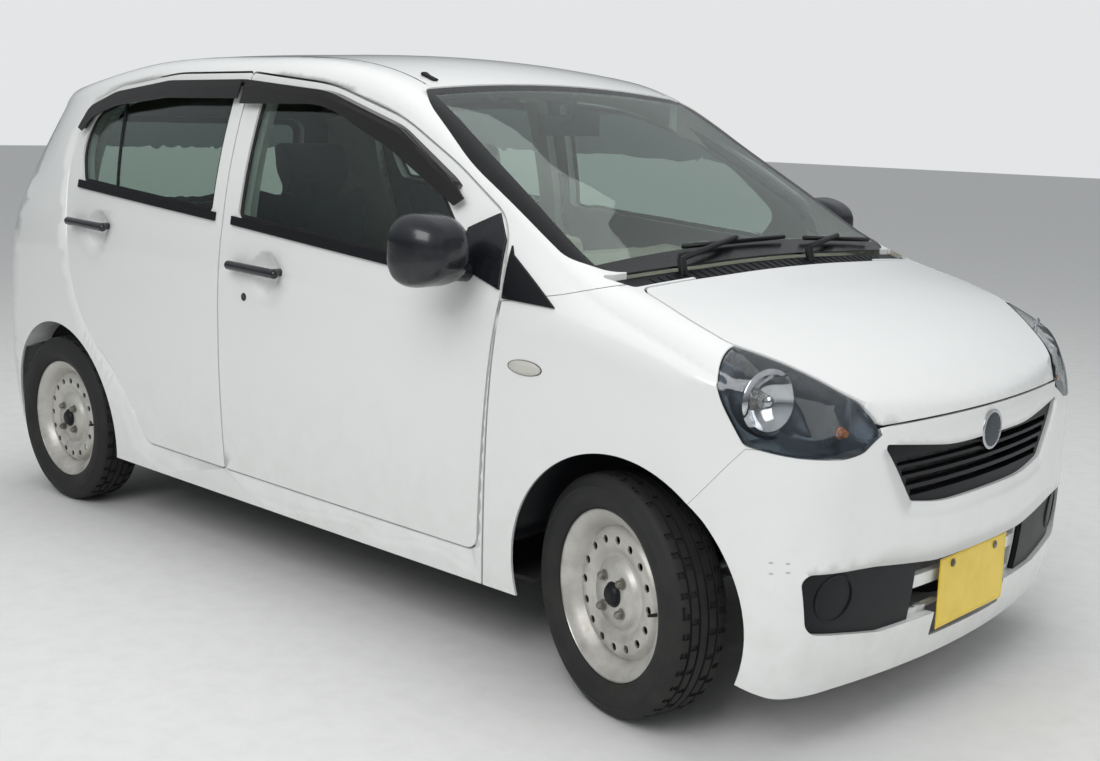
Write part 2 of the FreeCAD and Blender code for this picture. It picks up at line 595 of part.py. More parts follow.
# Nose openings: walls that turn in, a black grille, white intake bars and dark corner blanks
GRILLE_BARS = ((542, 15), (567, 16), (592, 16), (616, 15))
BAR_HALF, BLANK_IN, BLANK_X, BLANK_Z = 262, 266, 533, 352
wall_start, wall_end = 4, size("intake_depth") + 20
returns = []
for outline in (GRILLE_FRONT, INTAKE_FRONT):
    opening = end_prism(outline, NOSE_X - 160, NOSE_X + 60)
    tube = end_prism(outline, NOSE_X - 160, NOSE_X + 60, size("return_wall")).cut(opening)
    returns.append(envelope(wall_start).common(tube).cut(envelope(wall_end)))
bars = envelope(size("intake_depth")).common(end_prism(INTAKE_FRONT, NOSE_X - 160, NOSE_X + 60, 2))
bars = bars.common(box((0, -BAR_HALF, 100), (NOSE_X + 60, BAR_HALF, 600))).cut(envelope(wall_end - 1))
for z, rise in ((262, 52), (344, 50)):
    for low, high in ((-252, -96), (-84, 84), (96, 252)):
        bars = bars.cut(box((NOSE_X - 170, low, z), (NOSE_X + 60, high, z + rise)))
bumper = bumper.fuse(returns + [bars]).cut(notch_tool).cut(plate_room)
add_feature("front_bumper", bumper)
grille_fit = end_prism(GRILLE_FRONT, NOSE_X - 160, NOSE_X + 60, -size("seat_fit"))
grille = envelope(12).common(grille_fit).cut(envelope(32))
for z, opening in GRILLE_BARS:
    reach = 304 + (z - 534) * 0.75
    grille = grille.cut(box((NOSE_X - 170, -reach, z), (NOSE_X + 60, reach, z + opening)))
intake_fit = end_prism(INTAKE_FRONT, NOSE_X - 160, NOSE_X + 60, -size("seat_fit"))
blank_ring = envelope(12).common(intake_fit).cut(envelope(32))
blank = blank_ring.common(box((0, -OUT, 100), (NOSE_X + 60, -BLANK_IN, 600)))
blank = blank.cut(rod(48, (NOSE_X - 60, -BLANK_X, BLANK_Z), (NOSE_X + 60, -BLANK_X - 55, BLANK_Z)))
blank = blank.fuse(envelope(30).common(rod(52, (NOSE_X - 160, -BLANK_X + 40, BLANK_Z),
                                           (NOSE_X + 60, -BLANK_X - 55, BLANK_Z))).cut(envelope(36)))

# Plain number plates with their two bolt holes, and the front one's bracket
PLATE_SKIN, PLATE_HOLE, PLATE_BOLT_DROP = 1.6, 3.5, 19


def plate(x, z, way):
    """A blank plate whose back is at x, facing forwards or backwards."""
    half, rise = size("plate_width") / 2, size("plate_height") / 2
    low, high = sorted((x, x + way * PLATE_SKIN))
    blank_plate = box((low, -half, z - rise), (high, half, z + rise))
    for y in (-size("plate_bolts") / 2, size("plate_bolts") / 2):
        bolt_z = z + rise - PLATE_BOLT_DROP
        blank_plate = blank_plate.cut(rod(PLATE_HOLE, (low - 5, y, bolt_z), (high + 5, y, bolt_z)))
    return blank_plate


add_feature("front_plate", plate(FRONT_PLATE_X, FRONT_PLATE_Z, 1))
add_feature("rear_plate", plate(REAR_PLATE_X - size("seat_fit"), REAR_PLATE_Z, -1))
bracket = box((FRONT_PLATE_X - 60, -120, 255), (FRONT_PLATE_X - size("seat_fit"), 120, 345))
bracket = bracket.cut(envelope(size("intake_depth") - size("seat_fit")))
add_feature("nose_inserts", Part.makeCompound([grille, blank, mirrored(blank), bracket]))

# Door furniture: handles, mouldings under the windows, smoked visors, and the front doors' mirrors
VISOR_SKIN = 4
BELTS = {"front": ((-258, 1004, 0), (604, 938, 0), (604, 962, 0), (-258, 1028, 0)),
         "rear": ((-1130, 1062, 0), (-340, 1009, 0), (-340, 1033, 0), (-1130, 1086, 0))}
VISORS = {"front": ((-296, 1338, 0), (75, 1342, 400), (358, 1234, 300), (616, 1110, 0), (640, 1128, 0),
                    (585, 1170, 300), (357, 1293, 300), (75, 1377, 400), (-296, 1406, 0)),
          "rear": ((-314, 1352, 0), (-314, 1406, 0), (-700, 1402, 400), (-1000, 1366, 200), (-1140, 1318, 60),
                   (-1180, 1250, 0), (-1150, 1240, 0), (-1100, 1285, 60), (-985, 1322, 200),
                   (-700, 1350, 400))}
VISOR_TOPS = {"front": ((-300, 1388, 0), (75, 1361, 0), (357, 1277, 0), (600, 1148, 0), (700, 1500, 0),
                        (-300, 1500, 0)),
              "rear": ((-310, 1388, 0), (-310, 1500, 0), (-1300, 1500, 0), (-1167, 1246, 0), (-1120, 1303, 0),
                       (-993, 1346, 0), (-700, 1384, 0))}
HANDLE_LENGTH, HANDLE_RADIUS, HANDLE_STAND = 236, 13, 30
SAIL = ((652, 976, 0), (806, 930, 0), (786, 1040, 0), (742, 1100, 0), (664, 1062, 0))
MIRROR_AT = (645, -833, 1016)
MIRROR_HALF, MIRROR_CORNER = (93, 84), 62
MIRROR_RINGS = ((0, 0.94), (14, 1.0), (60, 0.97), (105, 0.76), (130, 0.4))
door_face = barrel(-size("seat_fit"))


def on_skin(outline, reach):
    """A strip that lies on the right doors' skin and stands out by reach."""
    return barrel(-reach).common(side_prism(outline, 0, INNER_LIMIT)).cut(door_face)


def visor(end):
    """A window visor: a thick top edge on the door's frame and a thin leaf that stands away."""
    leaf = on_skin(VISORS[end], size("visor_reach"))
    under = side_prism(VISORS[end], 5, INNER_LIMIT).cut(side_prism(VISOR_TOPS[end], 0, INNER_LIMIT - 10))
    return leaf.cut(under.common(barrel(VISOR_SKIN - size("visor_reach"))))


def handle(end):
    """A pull handle on two feet that stand on the door's skin."""
    middle, z = along(HANDLES[end][0]), HANDLES[end][1]
    half = HANDLE_LENGTH / 2 - HANDLE_RADIUS
    skin_y = -across(HANDLE_SKIN[end])
    bar_y = skin_y - HANDLE_STAND
    bar = rod(HANDLE_RADIUS, (middle - half, bar_y, z + 3), (middle + half, bar_y, z - 3))
    bar = bar.fuse(Part.makeSphere(HANDLE_RADIUS, V(middle - half, bar_y, z + 3)))
    bar = bar.fuse(Part.makeSphere(HANDLE_RADIUS, V(middle + half, bar_y, z - 3)))
    for x in (middle - half + 4, middle + half - 4):
        bar = bar.fuse(rod(HANDLE_RADIUS - 2, (x, bar_y, z), (x, skin_y + 60, z)))
    return bar.cut(door_face)


def mirror():
    """A door mirror: a rounded housing, flat behind for its glass, on an arm from the window's corner."""
    x, y, z = along(MIRROR_AT[0]), MIRROR_AT[1] - HALF + DRAWN_HALF, MIRROR_AT[2]
    rings = []
    for reach, share in MIRROR_RINGS:
        half_y, half_z = MIRROR_HALF[0] * share, MIRROR_HALF[1] * share
        corner = MIRROR_CORNER * share
        corners = [(y + a * half_y, z + b * half_z, corner) for a, b in ((-1, -1), (1, -1), (1, 1), (-1, 1))]
        rings.append(chain(rounded(corners), lambda a, b, at=x + reach: V(at, a, b), bent_edge))
    housing = Part.makeLoft(rings, True, False)
    arm = rod(22, (x + 40, y + 40, z - 50), (x + 52, -640, z - 64))
    return housing.fuse(arm).cut(door_face)


fittings = {}
for end in ("front", "rear"):
    pieces = [on_skin(BELTS[end], 7), visor(end), handle(end)]
    if end == "front":
        pieces.append(on_skin(SAIL, 6).fuse(mirror()))
    fittings[end] = pieces
for end, pieces in fittings.items():
    add_feature(end + "_door_fittings_right", Part.makeCompound(pieces))
    add_feature(end + "_door_fittings_left", Part.makeCompound([mirrored(piece) for piece in pieces]))
FENDER_SAIL = ((822, 912, 0), (981, 906, 0), (820, 1010, 0), (808, 1030, 0))
sail = on_skin(FENDER_SAIL, 6)

# Cowl between windscreen and bonnet, with the black sails on the fenders behind the bonnet
cowl_tool = plan_prism(COWL_PLAN, -seam, upward(880), 1700)
cowl = barrel(14).common(cowl_tool).cut(barrel(30))
add_feature("cowl_and_sails", Part.makeCompound([cowl, sail, mirrored(sail)]))

# Wipers: two arms from pivots in the cowl to blades that lie near the glass
Wiper = namedtuple("Wiper", "x y reach blade")
WIPERS = (Wiper(1080, -380, 290, 430), Wiper(1088, 150, 225, 330))
BLADE_RADIUS, BLADE_UP = 6, 64


def screen_point(x, y, lift):
    """A point above the windscreen or cowl at a place in the plan."""
    column = Part.LineSegment(V(along(x), y, 700), V(along(x), y, 1600)).toShape()
    top = max(vertex.Point.z for vertex in barrel(0).common(column).Vertexes)
    return V(along(x), y, top + lift)


wipers = []
for wiper in WIPERS:
    x, y, reach, half = wiper.x, wiper.y, wiper.reach, wiper.blade / 2
    pivot, elbow = screen_point(x, y, -18), screen_point(x - 10, y, 18)
    tip = screen_point(x - BLADE_UP, y + reach, 19)
    blade = rod(BLADE_RADIUS, screen_point(x - BLADE_UP, y + reach - half, 12),
                screen_point(x - BLADE_UP, y + reach + half, 12))
    swept = rod(7, elbow, tip).fuse(blade).cut(barrel(size("screen_inset") - size("seat_fit")))
    wipers.append(rod(11, pivot, elbow).cut(barrel(14 - size("seat_fit"))).fuse(swept))
add_feature("wipers", Part.makeCompound(wipers))

# Parts made from sketches and primitives whose sizes are expressions in the sheet's words
FRONT_AXLE = "(Sizes.wheelbase + Sizes.rear_overhang - Sizes.front_overhang) / 2"
REAR_AXLE = "(Sizes.rear_overhang - Sizes.wheelbase - Sizes.front_overhang) / 2"
ALONG_Y = FreeCAD.Rotation(V(1, 0, 0), -90)
UPRIGHT = FreeCAD.Rotation()


def bound(kind, label, place, rotation=UPRIGHT, **sizes):
    """Adds a Part primitive whose sizes and place are expressions."""
    thing = doc.addObject("Part::" + kind, label)
    thing.Placement = FreeCAD.Placement(V(), rotation)
    for name, expression in sizes.items():
        thing.setExpression(name, str(expression))
    for axis, expression in zip("xyz", place):
        thing.setExpression(".Placement.Base." + axis, str(expression))
    return thing


def joined(label, things):
    """Fuses primitives into one sub-part."""
    fused = doc.addObject("Part::MultiFuse", label)
    fused.Shapes = things
    fused.Refine = True
    return fused


def grouped(label, things):
    """Keeps like solids that don't touch as one sub-part."""
    group = doc.addObject("Part::Compound", label)
    group.Links = things
    return group


def drawn(label, shape):
    """Puts a helper shape into the document, to be cut or fused."""
    feature = doc.addObject("Part::Feature", label)
    feature.Shape = shape
    return feature


def sketch(body, role, corners):
    """Sketch of straight lines on one of the body's own planes, each corner held by expressions."""
    plan_sketch = body.newObject("Sketcher::SketchObject", body.Name + "Sketch")
    plane = [datum for datum in body.Origin.OriginFeatures if datum.Role == role][0]
    plan_sketch.AttachmentSupport = [(plane, "")]
    plan_sketch.MapMode = "FlatFace"
    places = [[float(sheet.evalExpression(str(value))) for value in corner] for corner in corners]
    count = len(corners)
    for index, (x, y) in enumerate(places):
        after = places[(index + 1) % count]
        plan_sketch.addGeometry(Part.LineSegment(V(x, y, 0), V(after[0], after[1], 0)), False)
    for index in range(count):
        plan_sketch.addConstraint(Sketcher.Constraint("Coincident", index, 2, (index + 1) % count, 1))
    for index, corner in enumerate(corners):
        kinds = zip(("DistanceX", "DistanceY"), places[index], corner, (-2, -1))
        for kind, value, expression, axis in kinds:
            if value == 0:
                plan_sketch.addConstraint(Sketcher.Constraint("PointOnObject", index, 1, axis))
                continue
            number = plan_sketch.addConstraint(Sketcher.Constraint(kind, -1, 1, index, 1, value))
            plan_sketch.setExpression("Constraints[%d]" % number, str(expression))
    return plan_sketch


def turned(body, corners):
    """Revolves a profile of (radius, reach along the axle) about the body's Y axis."""
    profile = sketch(body, "XY_Plane", corners)
    profile.Visibility = False
    turn = body.newObject("PartDesign::Revolution", body.Name + "Turn")
    turn.Profile = profile
    turn.ReferenceAxis = (profile, ["V_Axis"])
    turn.Angle = 360
    return turn


def extruded(body, role, corners, length):
    """Pads a profile by an expression, half to each side of its plane."""
    pad = body.newObject("PartDesign::Pad", body.Name + "Pad")
    pad.Profile = sketch(body, role, corners)
    pad.SideType = "Symmetric"
    pad.setExpression("Length", length)
    return pad


def circle_sketch(body, middle, radius):
    """Sketch of one circle beside the axle, for a hole or stud along it."""
    ring = body.newObject("Sketcher::SketchObject", body.Name + "Ring")
    plane = [datum for datum in body.Origin.OriginFeatures if datum.Role == "XZ_Plane"][0]
    ring.AttachmentSupport = [(plane, "")]
    ring.MapMode = "FlatFace"
    start = [float(sheet.evalExpression(value)) for value in (middle, radius)]
    ring.addGeometry(Part.Circle(V(start[0], 0, 0), V(0, 0, 1), start[1]), False)
    ring.addConstraint(Sketcher.Constraint("PointOnObject", 0, 3, -1))
    place = ring.addConstraint(Sketcher.Constraint("DistanceX", -1, 1, 0, 3, start[0]))
    ring.setExpression("Constraints[%d]" % place, middle)
    width = ring.addConstraint(Sketcher.Constraint("Radius", 0, start[1]))
    ring.setExpression("Constraints[%d]" % width, radius)
    return ring


# Wheel profile: radius, then reach outwards from the rim's middle
RIM_PROFILE = (
    ("Sizes.rim_radius + 17", "Sizes.rim_width / 2"), ("Sizes.rim_radius + 17", "Sizes.rim_width / 2 - 5"),
    ("Sizes.rim_radius", "Sizes.rim_width / 2 - 14"), ("Sizes.rim_radius - 20", "12"),
    ("Sizes.rim_radius - 20", "-10"), ("Sizes.rim_radius", "14 - Sizes.rim_width / 2"),
    ("Sizes.rim_radius + 17", "5 - Sizes.rim_width / 2"), ("Sizes.rim_radius + 17", "-Sizes.rim_width / 2"),
    ("Sizes.rim_radius - 5", "12 - Sizes.rim_width / 2"), ("Sizes.rim_radius - 25", "-12"),
    ("Sizes.rim_radius - 25", "9"), ("Sizes.vent_circle / 2 + 10", "Sizes.wheel_offset - 8"),
    ("Sizes.vent_circle / 2 - 12", "Sizes.wheel_offset - 8"),
    ("Sizes.stud_circle / 2 + 38", "Sizes.wheel_offset - 20"),
    ("Sizes.stud_circle / 2 + 18", "Sizes.wheel_offset"), ("Sizes.hub_bore / 2", "Sizes.wheel_offset"),
    ("Sizes.hub_bore / 2", "Sizes.wheel_offset + 4"),
    ("Sizes.stud_circle / 2 + 19", "Sizes.wheel_offset + 4"),
    ("Sizes.stud_circle / 2 + 36", "Sizes.wheel_offset - 15"),
    ("Sizes.vent_circle / 2 - 14", "Sizes.wheel_offset - 3"),
    ("Sizes.vent_circle / 2 + 12", "Sizes.wheel_offset - 3"), ("Sizes.rim_radius - 25", "16"),
    ("Sizes.rim_radius - 6", "Sizes.rim_width / 2 - 13"),
)
TYRE_PROFILE = (
    ("Sizes.rim_radius + Sizes.seat_fit", "14.6 - Sizes.rim_width / 2"),
    ("Sizes.rim_radius + 17.3", "5.7 - Sizes.rim_width / 2"),
    ("Sizes.rim_radius + 54", "-Sizes.tyre_width / 2"),
    ("Sizes.tyre_radius", "-Sizes.tyre_width / 2 + 18"), ("Sizes.tyre_radius", "Sizes.tyre_width / 2 - 18"),
    ("Sizes.rim_radius + 54", "Sizes.tyre_width / 2"),
    ("Sizes.rim_radius + 17.3", "Sizes.rim_width / 2 - 5.7"),
    ("Sizes.rim_radius + Sizes.seat_fit", "Sizes.rim_width / 2 - 14.6"),
)


def wheel_centre(front, left):
    """Middle of a wheel at rest: a front one has swung about its kingpin by the parked steer."""
    way = 1 if left else -1
    if not front:
        return V(REAR_X, way * size("track_rear") / 2, HUB_Z), 0.0
    kingpin_y = size("kingpin_low") - (size("kingpin_low") - size("kingpin_high")) * (
        (HUB_Z - size("ball_height")) / (size("strut_height") - size("ball_height")))
    reach = size("track_front") / 2 - kingpin_y
    angle = math.radians(size("steer_rest"))
    offset = V(way * reach * math.sin(angle), way * reach * math.cos(angle), 0)
    return V(FRONT_X, way * kingpin_y, HUB_Z) + offset, -size("steer_rest")


def make_wheel(label, centre, turn):
    """A pressed steel wheel with its vent holes, wheel nuts and middle cap."""
    body = doc.addObject("PartDesign::Body", label)
    turned(body, RIM_PROFILE)
    hole = body.newObject("PartDesign::Pocket", label + "Vent")
    hole.Profile = circle_sketch(body, "Sizes.vent_circle / 2", "Sizes.vent_diameter / 2")
    hole.Type = "ThroughAll"
    hole.SideType = "Symmetric"
    vents = body.newObject("PartDesign::PolarPattern", label + "Vents")
    vents.Originals = [hole]
    vents.Axis = (hole.Profile[0], ["N_Axis"])
    vents.Angle = 360
    vents.setExpression("Occurrences", "Sizes.vent_count")
    body.Tip = vents
    body.Placement = FreeCAD.Placement(centre, FreeCAD.Rotation(V(0, 0, 1), turn))
    return body


def make_tyre(label, centre, turn):
    """A tyre that fills the rim from bead to bead."""
    body = doc.addObject("PartDesign::Body", label)
    body.Tip = turned(body, TYRE_PROFILE)
    body.Placement = FreeCAD.Placement(centre, FreeCAD.Rotation(V(0, 0, 1), turn))
    return body


for front, end in ((True, "front"), (False, "rear")):
    for left, side in ((False, "right"), (True, "left")):
        centre, steer = wheel_centre(front, left)
        turn = steer + (0 if left else 180)
        wheel = make_wheel("wheel_%s_%s" % (end, side), centre, turn)
        keep("wheel_%s_%s" % (end, side), wheel)
        keep("tyre_%s_%s" % (end, side), make_tyre("tyre_%s_%s" % (end, side), centre, turn))
doc.recompute()


def drawn_x(x):
    """Expression for a drawn X on the sheet's wheelbase."""
    if x >= DRAWN_FRONT:
        return "%s + %g" % (FRONT_AXLE, x - DRAWN_FRONT)
    if x <= DRAWN_REAR:
        return "%s + %g" % (REAR_AXLE, x - DRAWN_REAR)
    return "%s + %g * Sizes.wheelbase / %g" % (REAR_AXLE, x - DRAWN_REAR, DRAWN_FRONT - DRAWN_REAR)


def drawn_y(y):
    """Expression for a drawn Y on the sheet's width."""
    return "%g * Sizes.body_width / %g" % (y, 2 * DRAWN_HALF)


def drawn_z(z):
    """Expression for a drawn Z on the sheet's roof height."""
    if z < DRAWN_BELT:
        return "%g" % z
    share = (z - DRAWN_BELT) / (DRAWN_ROOF - DRAWN_BELT)
    return "%g + %g * (Sizes.roof_height - %g)" % (DRAWN_BELT, share, DRAWN_BELT)


def placed(point):
    """Expressions for a drawn point: a number follows the drawing, words are used as they are."""
    turns = zip((drawn_x, drawn_y, drawn_z), point)
    return [value if isinstance(value, str) else turn(value) for turn, value in turns]


def block(label, low, high):
    """Box between two drawn corners."""
    start, end = placed(low), placed(high)
    spans = ["(%s) - (%s)" % (far, near) for near, far in zip(start, end)]
    return bound("Box", label, start, Length=spans[0], Width=spans[1], Height=spans[2])


def post(label, radius, foot, height, rotation=UPRIGHT):
    """Round bar from a drawn point, upright unless turned."""
    return bound("Cylinder", label, placed(foot), rotation, Radius=radius, Height=height)


def twin(thing):
    """The same piece on the car's other side, tied to the first."""
    other = doc.addObject("Part::Mirroring", thing.Label + "Twin")
    other.Source = thing
    other.Normal = V(0, 1, 0)
    return other


def sides(things):
    """Each piece and its twin on the other side."""
    return [piece for thing in things for piece in (thing, twin(thing))]


def slab(label, corners, width, middle="0"):
    """Pads a drawn side profile across the car about a middle line."""
    body = doc.addObject("PartDesign::Body", label)
    outline = [(drawn_x(x), z if isinstance(z, str) else drawn_z(z)) for x, z in corners]
    body.Tip = extruded(body, "XZ_Plane", outline, width)
    body.setExpression(".Placement.Base.y", middle)
    return body


def pipe(radius, points):
    """Round pipe through drawn points, with a ball at each bend."""
    places = [V(along(x), across(y), upward(z)) for x, y, z in points]
    shape = rod(radius, places[0], places[1])
    for start, end in zip(places[1:], places[2:]):
        shape = shape.fuse(Part.makeSphere(radius, start)).fuse(rod(radius, start, end))
    return shape


# Cabin: dashboard with the steering column, front and rear seats, seat rails and mirror
FIT = "Sizes.seat_fit"
FLOOR_TOP = "Sizes.floor_height"
DASH_PROFILE = ((1003.7, 590), (1003.7, 948), (760, 985), (520, 962), (432, 902), (420, 812), (470, 700),
                (560, 640), (640, 560))
WHEEL_AT = V(along(330), across(-330), upward(905))
COLUMN_TILT = -62
COLUMN_NORMAL = V(math.sin(math.radians(COLUMN_TILT)), 0, math.cos(math.radians(COLUMN_TILT)))
HUB_DEPTH = 46
dash = slab("DashForm", DASH_PROFILE, "1220 * Sizes.body_width / 1475")
column_top = WHEEL_AT - COLUMN_NORMAL * (HUB_DEPTH + size("running_gap"))
column = drawn("ColumnForm", rod(24, column_top, WHEEL_AT - COLUMN_NORMAL * 190))
keep("dashboard", joined("Dashboard", [dash, column]))

CUSHION = ((175, 402), (190, 470), (168, 548), (50, 562), (-200, 528), (-262, 540), (-335, 820), (-392, 1075),
           (-410, 1118), (-462, 1112), (-470, 1060), (-430, 800), (-385, 470), (-350, 402))
HEADREST = ((-352, 1128), (-338, 1180), (-345, 1250), (-372, 1276), (-408, 1268), (-424, 1200),
            (-428, 1119), (-412, 1060))
SEAT_MIDDLE = "(Sizes.seat_width + Sizes.seat_gap) / 2"
front_seat = joined("FrontSeat", [slab("SeatForm", CUSHION, "Sizes.seat_width", "-" + SEAT_MIDDLE),
                                  slab("HeadrestForm", HEADREST, "250", "-" + SEAT_MIDDLE)])
keep("front_seats", grouped("FrontSeats", sides([front_seat])))
BENCH_FOOT = FLOOR_TOP + " + 115 + " + FIT
BENCH = ((-640, BENCH_FOOT), (-600, 470), (-640, 552), (-1000, 520), (-1060, 545), (-1150, 1020), (-1180, 1048),
         (-1225, 1040), (-1235, 1000), (-1180, 560), (-1150, 470), (-948, 455), (-885, BENCH_FOOT))
keep("rear_seat", slab("RearSeat", BENCH, "1010 * Sizes.body_width / 1475"))
RAILS = []
for number, inset in enumerate((60, 400)):
    rail_side = "-Sizes.seat_gap / 2 - %g" % (inset + 40)
    RAILS.append(block("SeatRail%d" % number, (-330, rail_side, FLOOR_TOP + " + " + FIT),
                       (150, "-Sizes.seat_gap / 2 - %g" % inset, "402 - " + FIT)))
keep("seat_rails", grouped("SeatRails", sides(RAILS)))
STALK_TOP = barrel(size("screen_inset") + size("glass_thickness") + size("seat_fit"))
cabin_mirror = box((along(346), -118, upward(1272)), (along(366), 118, upward(1332)))
mirror_stalk = rod(9, (along(360), 0, upward(1310)), (along(378), 0, upward(1420)))
cabin_mirror = cabin_mirror.fuse(mirror_stalk).common(STALK_TOP)
add_feature("cabin_mirror", cabin_mirror)

# Steering wheel: rim, three spokes and hub, drawn flat and then tilted on its column
GRIP = 13
RIM_SECTION = [("Sizes.steering_radius - %g" % (GRIP * (1 - math.cos(math.radians(45 * step)))),
                "%g" % (GRIP * math.sin(math.radians(45 * step)) or 0)) for step in range(8)]
rim = doc.addObject("PartDesign::Body", "SteeringRim")
rim.Tip = turned(rim, RIM_SECTION)
rim.Placement = FreeCAD.Placement(V(), FreeCAD.Rotation(V(1, 0, 0), 90))
hub = bound("Cylinder", "SteeringHub", (0, 0, -HUB_DEPTH), Radius=46, Height=HUB_DEPTH + 4)
GRIP_REACH = "%g - Sizes.steering_radius" % GRIP
SPOKE_BASE, SPOKE_THICK, SPOKE_WIDE, FOOT_WIDE = -22, 14, 32, 28
spoke = bound("Box", "SteeringSpoke", (-SPOKE_WIDE / 2, GRIP_REACH, SPOKE_BASE), Length=SPOKE_WIDE,
              Width="2 * Sizes.steering_radius - %g" % (2 * GRIP), Height=SPOKE_THICK)
foot_spoke = bound("Box", "SteeringFoot", (GRIP_REACH, -FOOT_WIDE / 2, SPOKE_BASE),
                   Length="Sizes.steering_radius - %g" % GRIP, Width=FOOT_WIDE, Height=SPOKE_THICK)
steering = joined("SteeringWheel", [rim, hub, spoke, foot_spoke])
steering.Placement = FreeCAD.Placement(WHEEL_AT, FreeCAD.Rotation(V(0, 1, 0), COLUMN_TILT))
keep("steering_wheel", steering)

# Front end: two rails with cross bars, radiator, and the engine as one plain block on its mounts
RAIL_IN, RAIL_OUT, RAIL_LOW, RAIL_HIGH, BAR_BACK, BAR_FRONT = 330, 390, 380, 480, 1572, 1612
RAIL_START = "(%s) + %s" % (drawn_x(1016), FIT)
frame = sides([block("FrameRail", (RAIL_START, RAIL_IN, RAIL_LOW), (BAR_FRONT, RAIL_OUT, RAIL_HIGH)),
               block("FrameUpright", (BAR_BACK, RAIL_IN + 10, RAIL_HIGH - 5), (BAR_FRONT, RAIL_OUT - 10, 622))])
frame += [block("FrameTop", (BAR_BACK, -410, 620), (BAR_FRONT, 410, 648)),
          block("FrameFoot", (BAR_BACK, -RAIL_IN - 5, RAIL_LOW), (BAR_FRONT, RAIL_IN + 5, RAIL_LOW + 40))]
buffers = [rod(13, (along(1592), way * 300, 640), (along(1592), way * 300, 900)) for way in (-1, 1)]
buffer_top = envelope(size("bonnet_thickness") + size("seat_fit"))
frame += [drawn("BonnetBuffer%d" % index, shape.common(buffer_top)) for index, shape in enumerate(buffers)]
keep("front_frame", joined("FrontFrame", frame))
keep("radiator", block("Radiator", ("%s - 32" % drawn_x(BAR_BACK), -290, 345),
                       ("%s - %s" % (drawn_x(BAR_BACK), FIT), 290, 640)))
ENGINE_X, ENGINE_Z = "%s - 50" % FRONT_AXLE, "235"
engine = [block("EngineBlock", (ENGINE_X, "-Sizes.engine_width / 2", ENGINE_Z),
             (ENGINE_X + " + Sizes.engine_length", "Sizes.engine_width / 2",
              ENGINE_Z + " + Sizes.engine_height"))]
engine += sides([block("EngineMount", (1260, "Sizes.engine_width / 2 - 5", RAIL_LOW + 20),
                       (1340, "(%s) - %s" % (drawn_y(RAIL_IN), FIT), RAIL_LOW + 70)),
                 post("DriveShaft", 14, (FRONT_AXLE, "Sizes.engine_width / 2 - 5", "Sizes.tyre_radius"),
                      "(%s) - Sizes.engine_width / 2" % drawn_y(540), ALONG_Y)])
keep("engine", joined("Engine", engine))

# Front suspension: crossmember with its arms under the ball joints, and the struts' upper mounts
BALL_RADIUS = 13
ARM_TOP = "Sizes.ball_height - %g - Sizes.running_gap" % BALL_RADIUS
MOUNT_FOOT = "Sizes.strut_height + Sizes.running_gap"
mount_disc = post("StrutMountForm", 52, (FRONT_AXLE, "Sizes.kingpin_high", MOUNT_FOOT), 60)
MOUNT_ROOM = "Sizes.arch_radius + Sizes.liner_gap - " + FIT
mount_room = post("StrutMountRoom", MOUNT_ROOM, (FRONT_AXLE, "0", "Sizes.tyre_radius"),
                  "Sizes.body_width", ALONG_Y)
strut_mount = doc.addObject("Part::Common", "StrutMount")
strut_mount.Base, strut_mount.Tool = mount_disc, mount_room
crossmember = [block("Crossmember", (1026, -400, 200), (1122, 400, 290))]
crossmember += sides([
    block("CrossmemberPost", (1040, RAIL_IN, 285), (1110, RAIL_OUT, "%g - %s" % (RAIL_LOW, FIT))),
    block("LowerArmRoot", (1100, 370, "%s - 20" % ARM_TOP), (FRONT_AXLE + " + 25", 425, "230")),
    block("LowerArm", (FRONT_AXLE + " - 25", 420, "%s - 20" % ARM_TOP),
          (FRONT_AXLE + " + 25", "Sizes.kingpin_low", ARM_TOP)),
    post("LowerArmEnd", 26, (FRONT_AXLE, "Sizes.kingpin_low", "%s - 20" % ARM_TOP), 20)])
front_member = joined("FrontCrossmember", crossmember)
keep("front_suspension", grouped("FrontSuspension", [front_member] + sides([strut_mount])))

# Steering knuckles: ball, strut and stub axle about a kingpin, with the hub that the wheel turns on
HUB_BACK, HUB_FACE, HUB_DRUM = -32, 10, 95


def hub_pieces(centre, turn, label):
    """Stub axle, drum and flange on one wheel's axle."""
    spin = FreeCAD.Rotation(V(0, 0, 1), turn)
    outwards = spin.multVec(V(0, 1, 0))
    face = size("wheel_offset") - size("running_gap")
    stub_end = centre + outwards * (size("wheel_offset") + 6)
    stub = rod(size("hub_bore") / 2 - size("running_gap"), centre - outwards * 62, stub_end)
    drum = rod(HUB_DRUM, centre + outwards * HUB_BACK, centre + outwards * HUB_FACE)
    flange = rod(size("stud_circle") / 2 + 6, centre + outwards * (HUB_FACE - 1), centre + outwards * face)
    forms = (("Stub", stub), ("Drum", drum), ("Flange", flange))
    return [drawn(label + part, shape) for part, shape in forms]


for left, side, way in ((False, "right", -1), (True, "left", 1)):
    centre, steer = wheel_centre(True, left)
    ball = V(FRONT_X, way * size("kingpin_low"), size("ball_height"))
    top = V(FRONT_X, way * size("kingpin_high"), size("strut_height"))
    strut_end = ball + (top - ball) * ((size("strut_height") - size("ball_height") - 5) / (top.z - ball.z))
    pieces = hub_pieces(centre, steer + (0 if left else 180), "Knuckle%s" % side.title())
    pieces.append(drawn("KnuckleStrut" + side, rod(size("strut_radius"), ball, strut_end)))
    ball_place = (FRONT_AXLE, "%d * Sizes.kingpin_low" % way, "Sizes.ball_height")
    pieces.append(bound("Sphere", "KnuckleBall" + side, ball_place,
                        Radius=BALL_RADIUS))
    keep("knuckle_" + side, joined("Knuckle" + side, pieces))

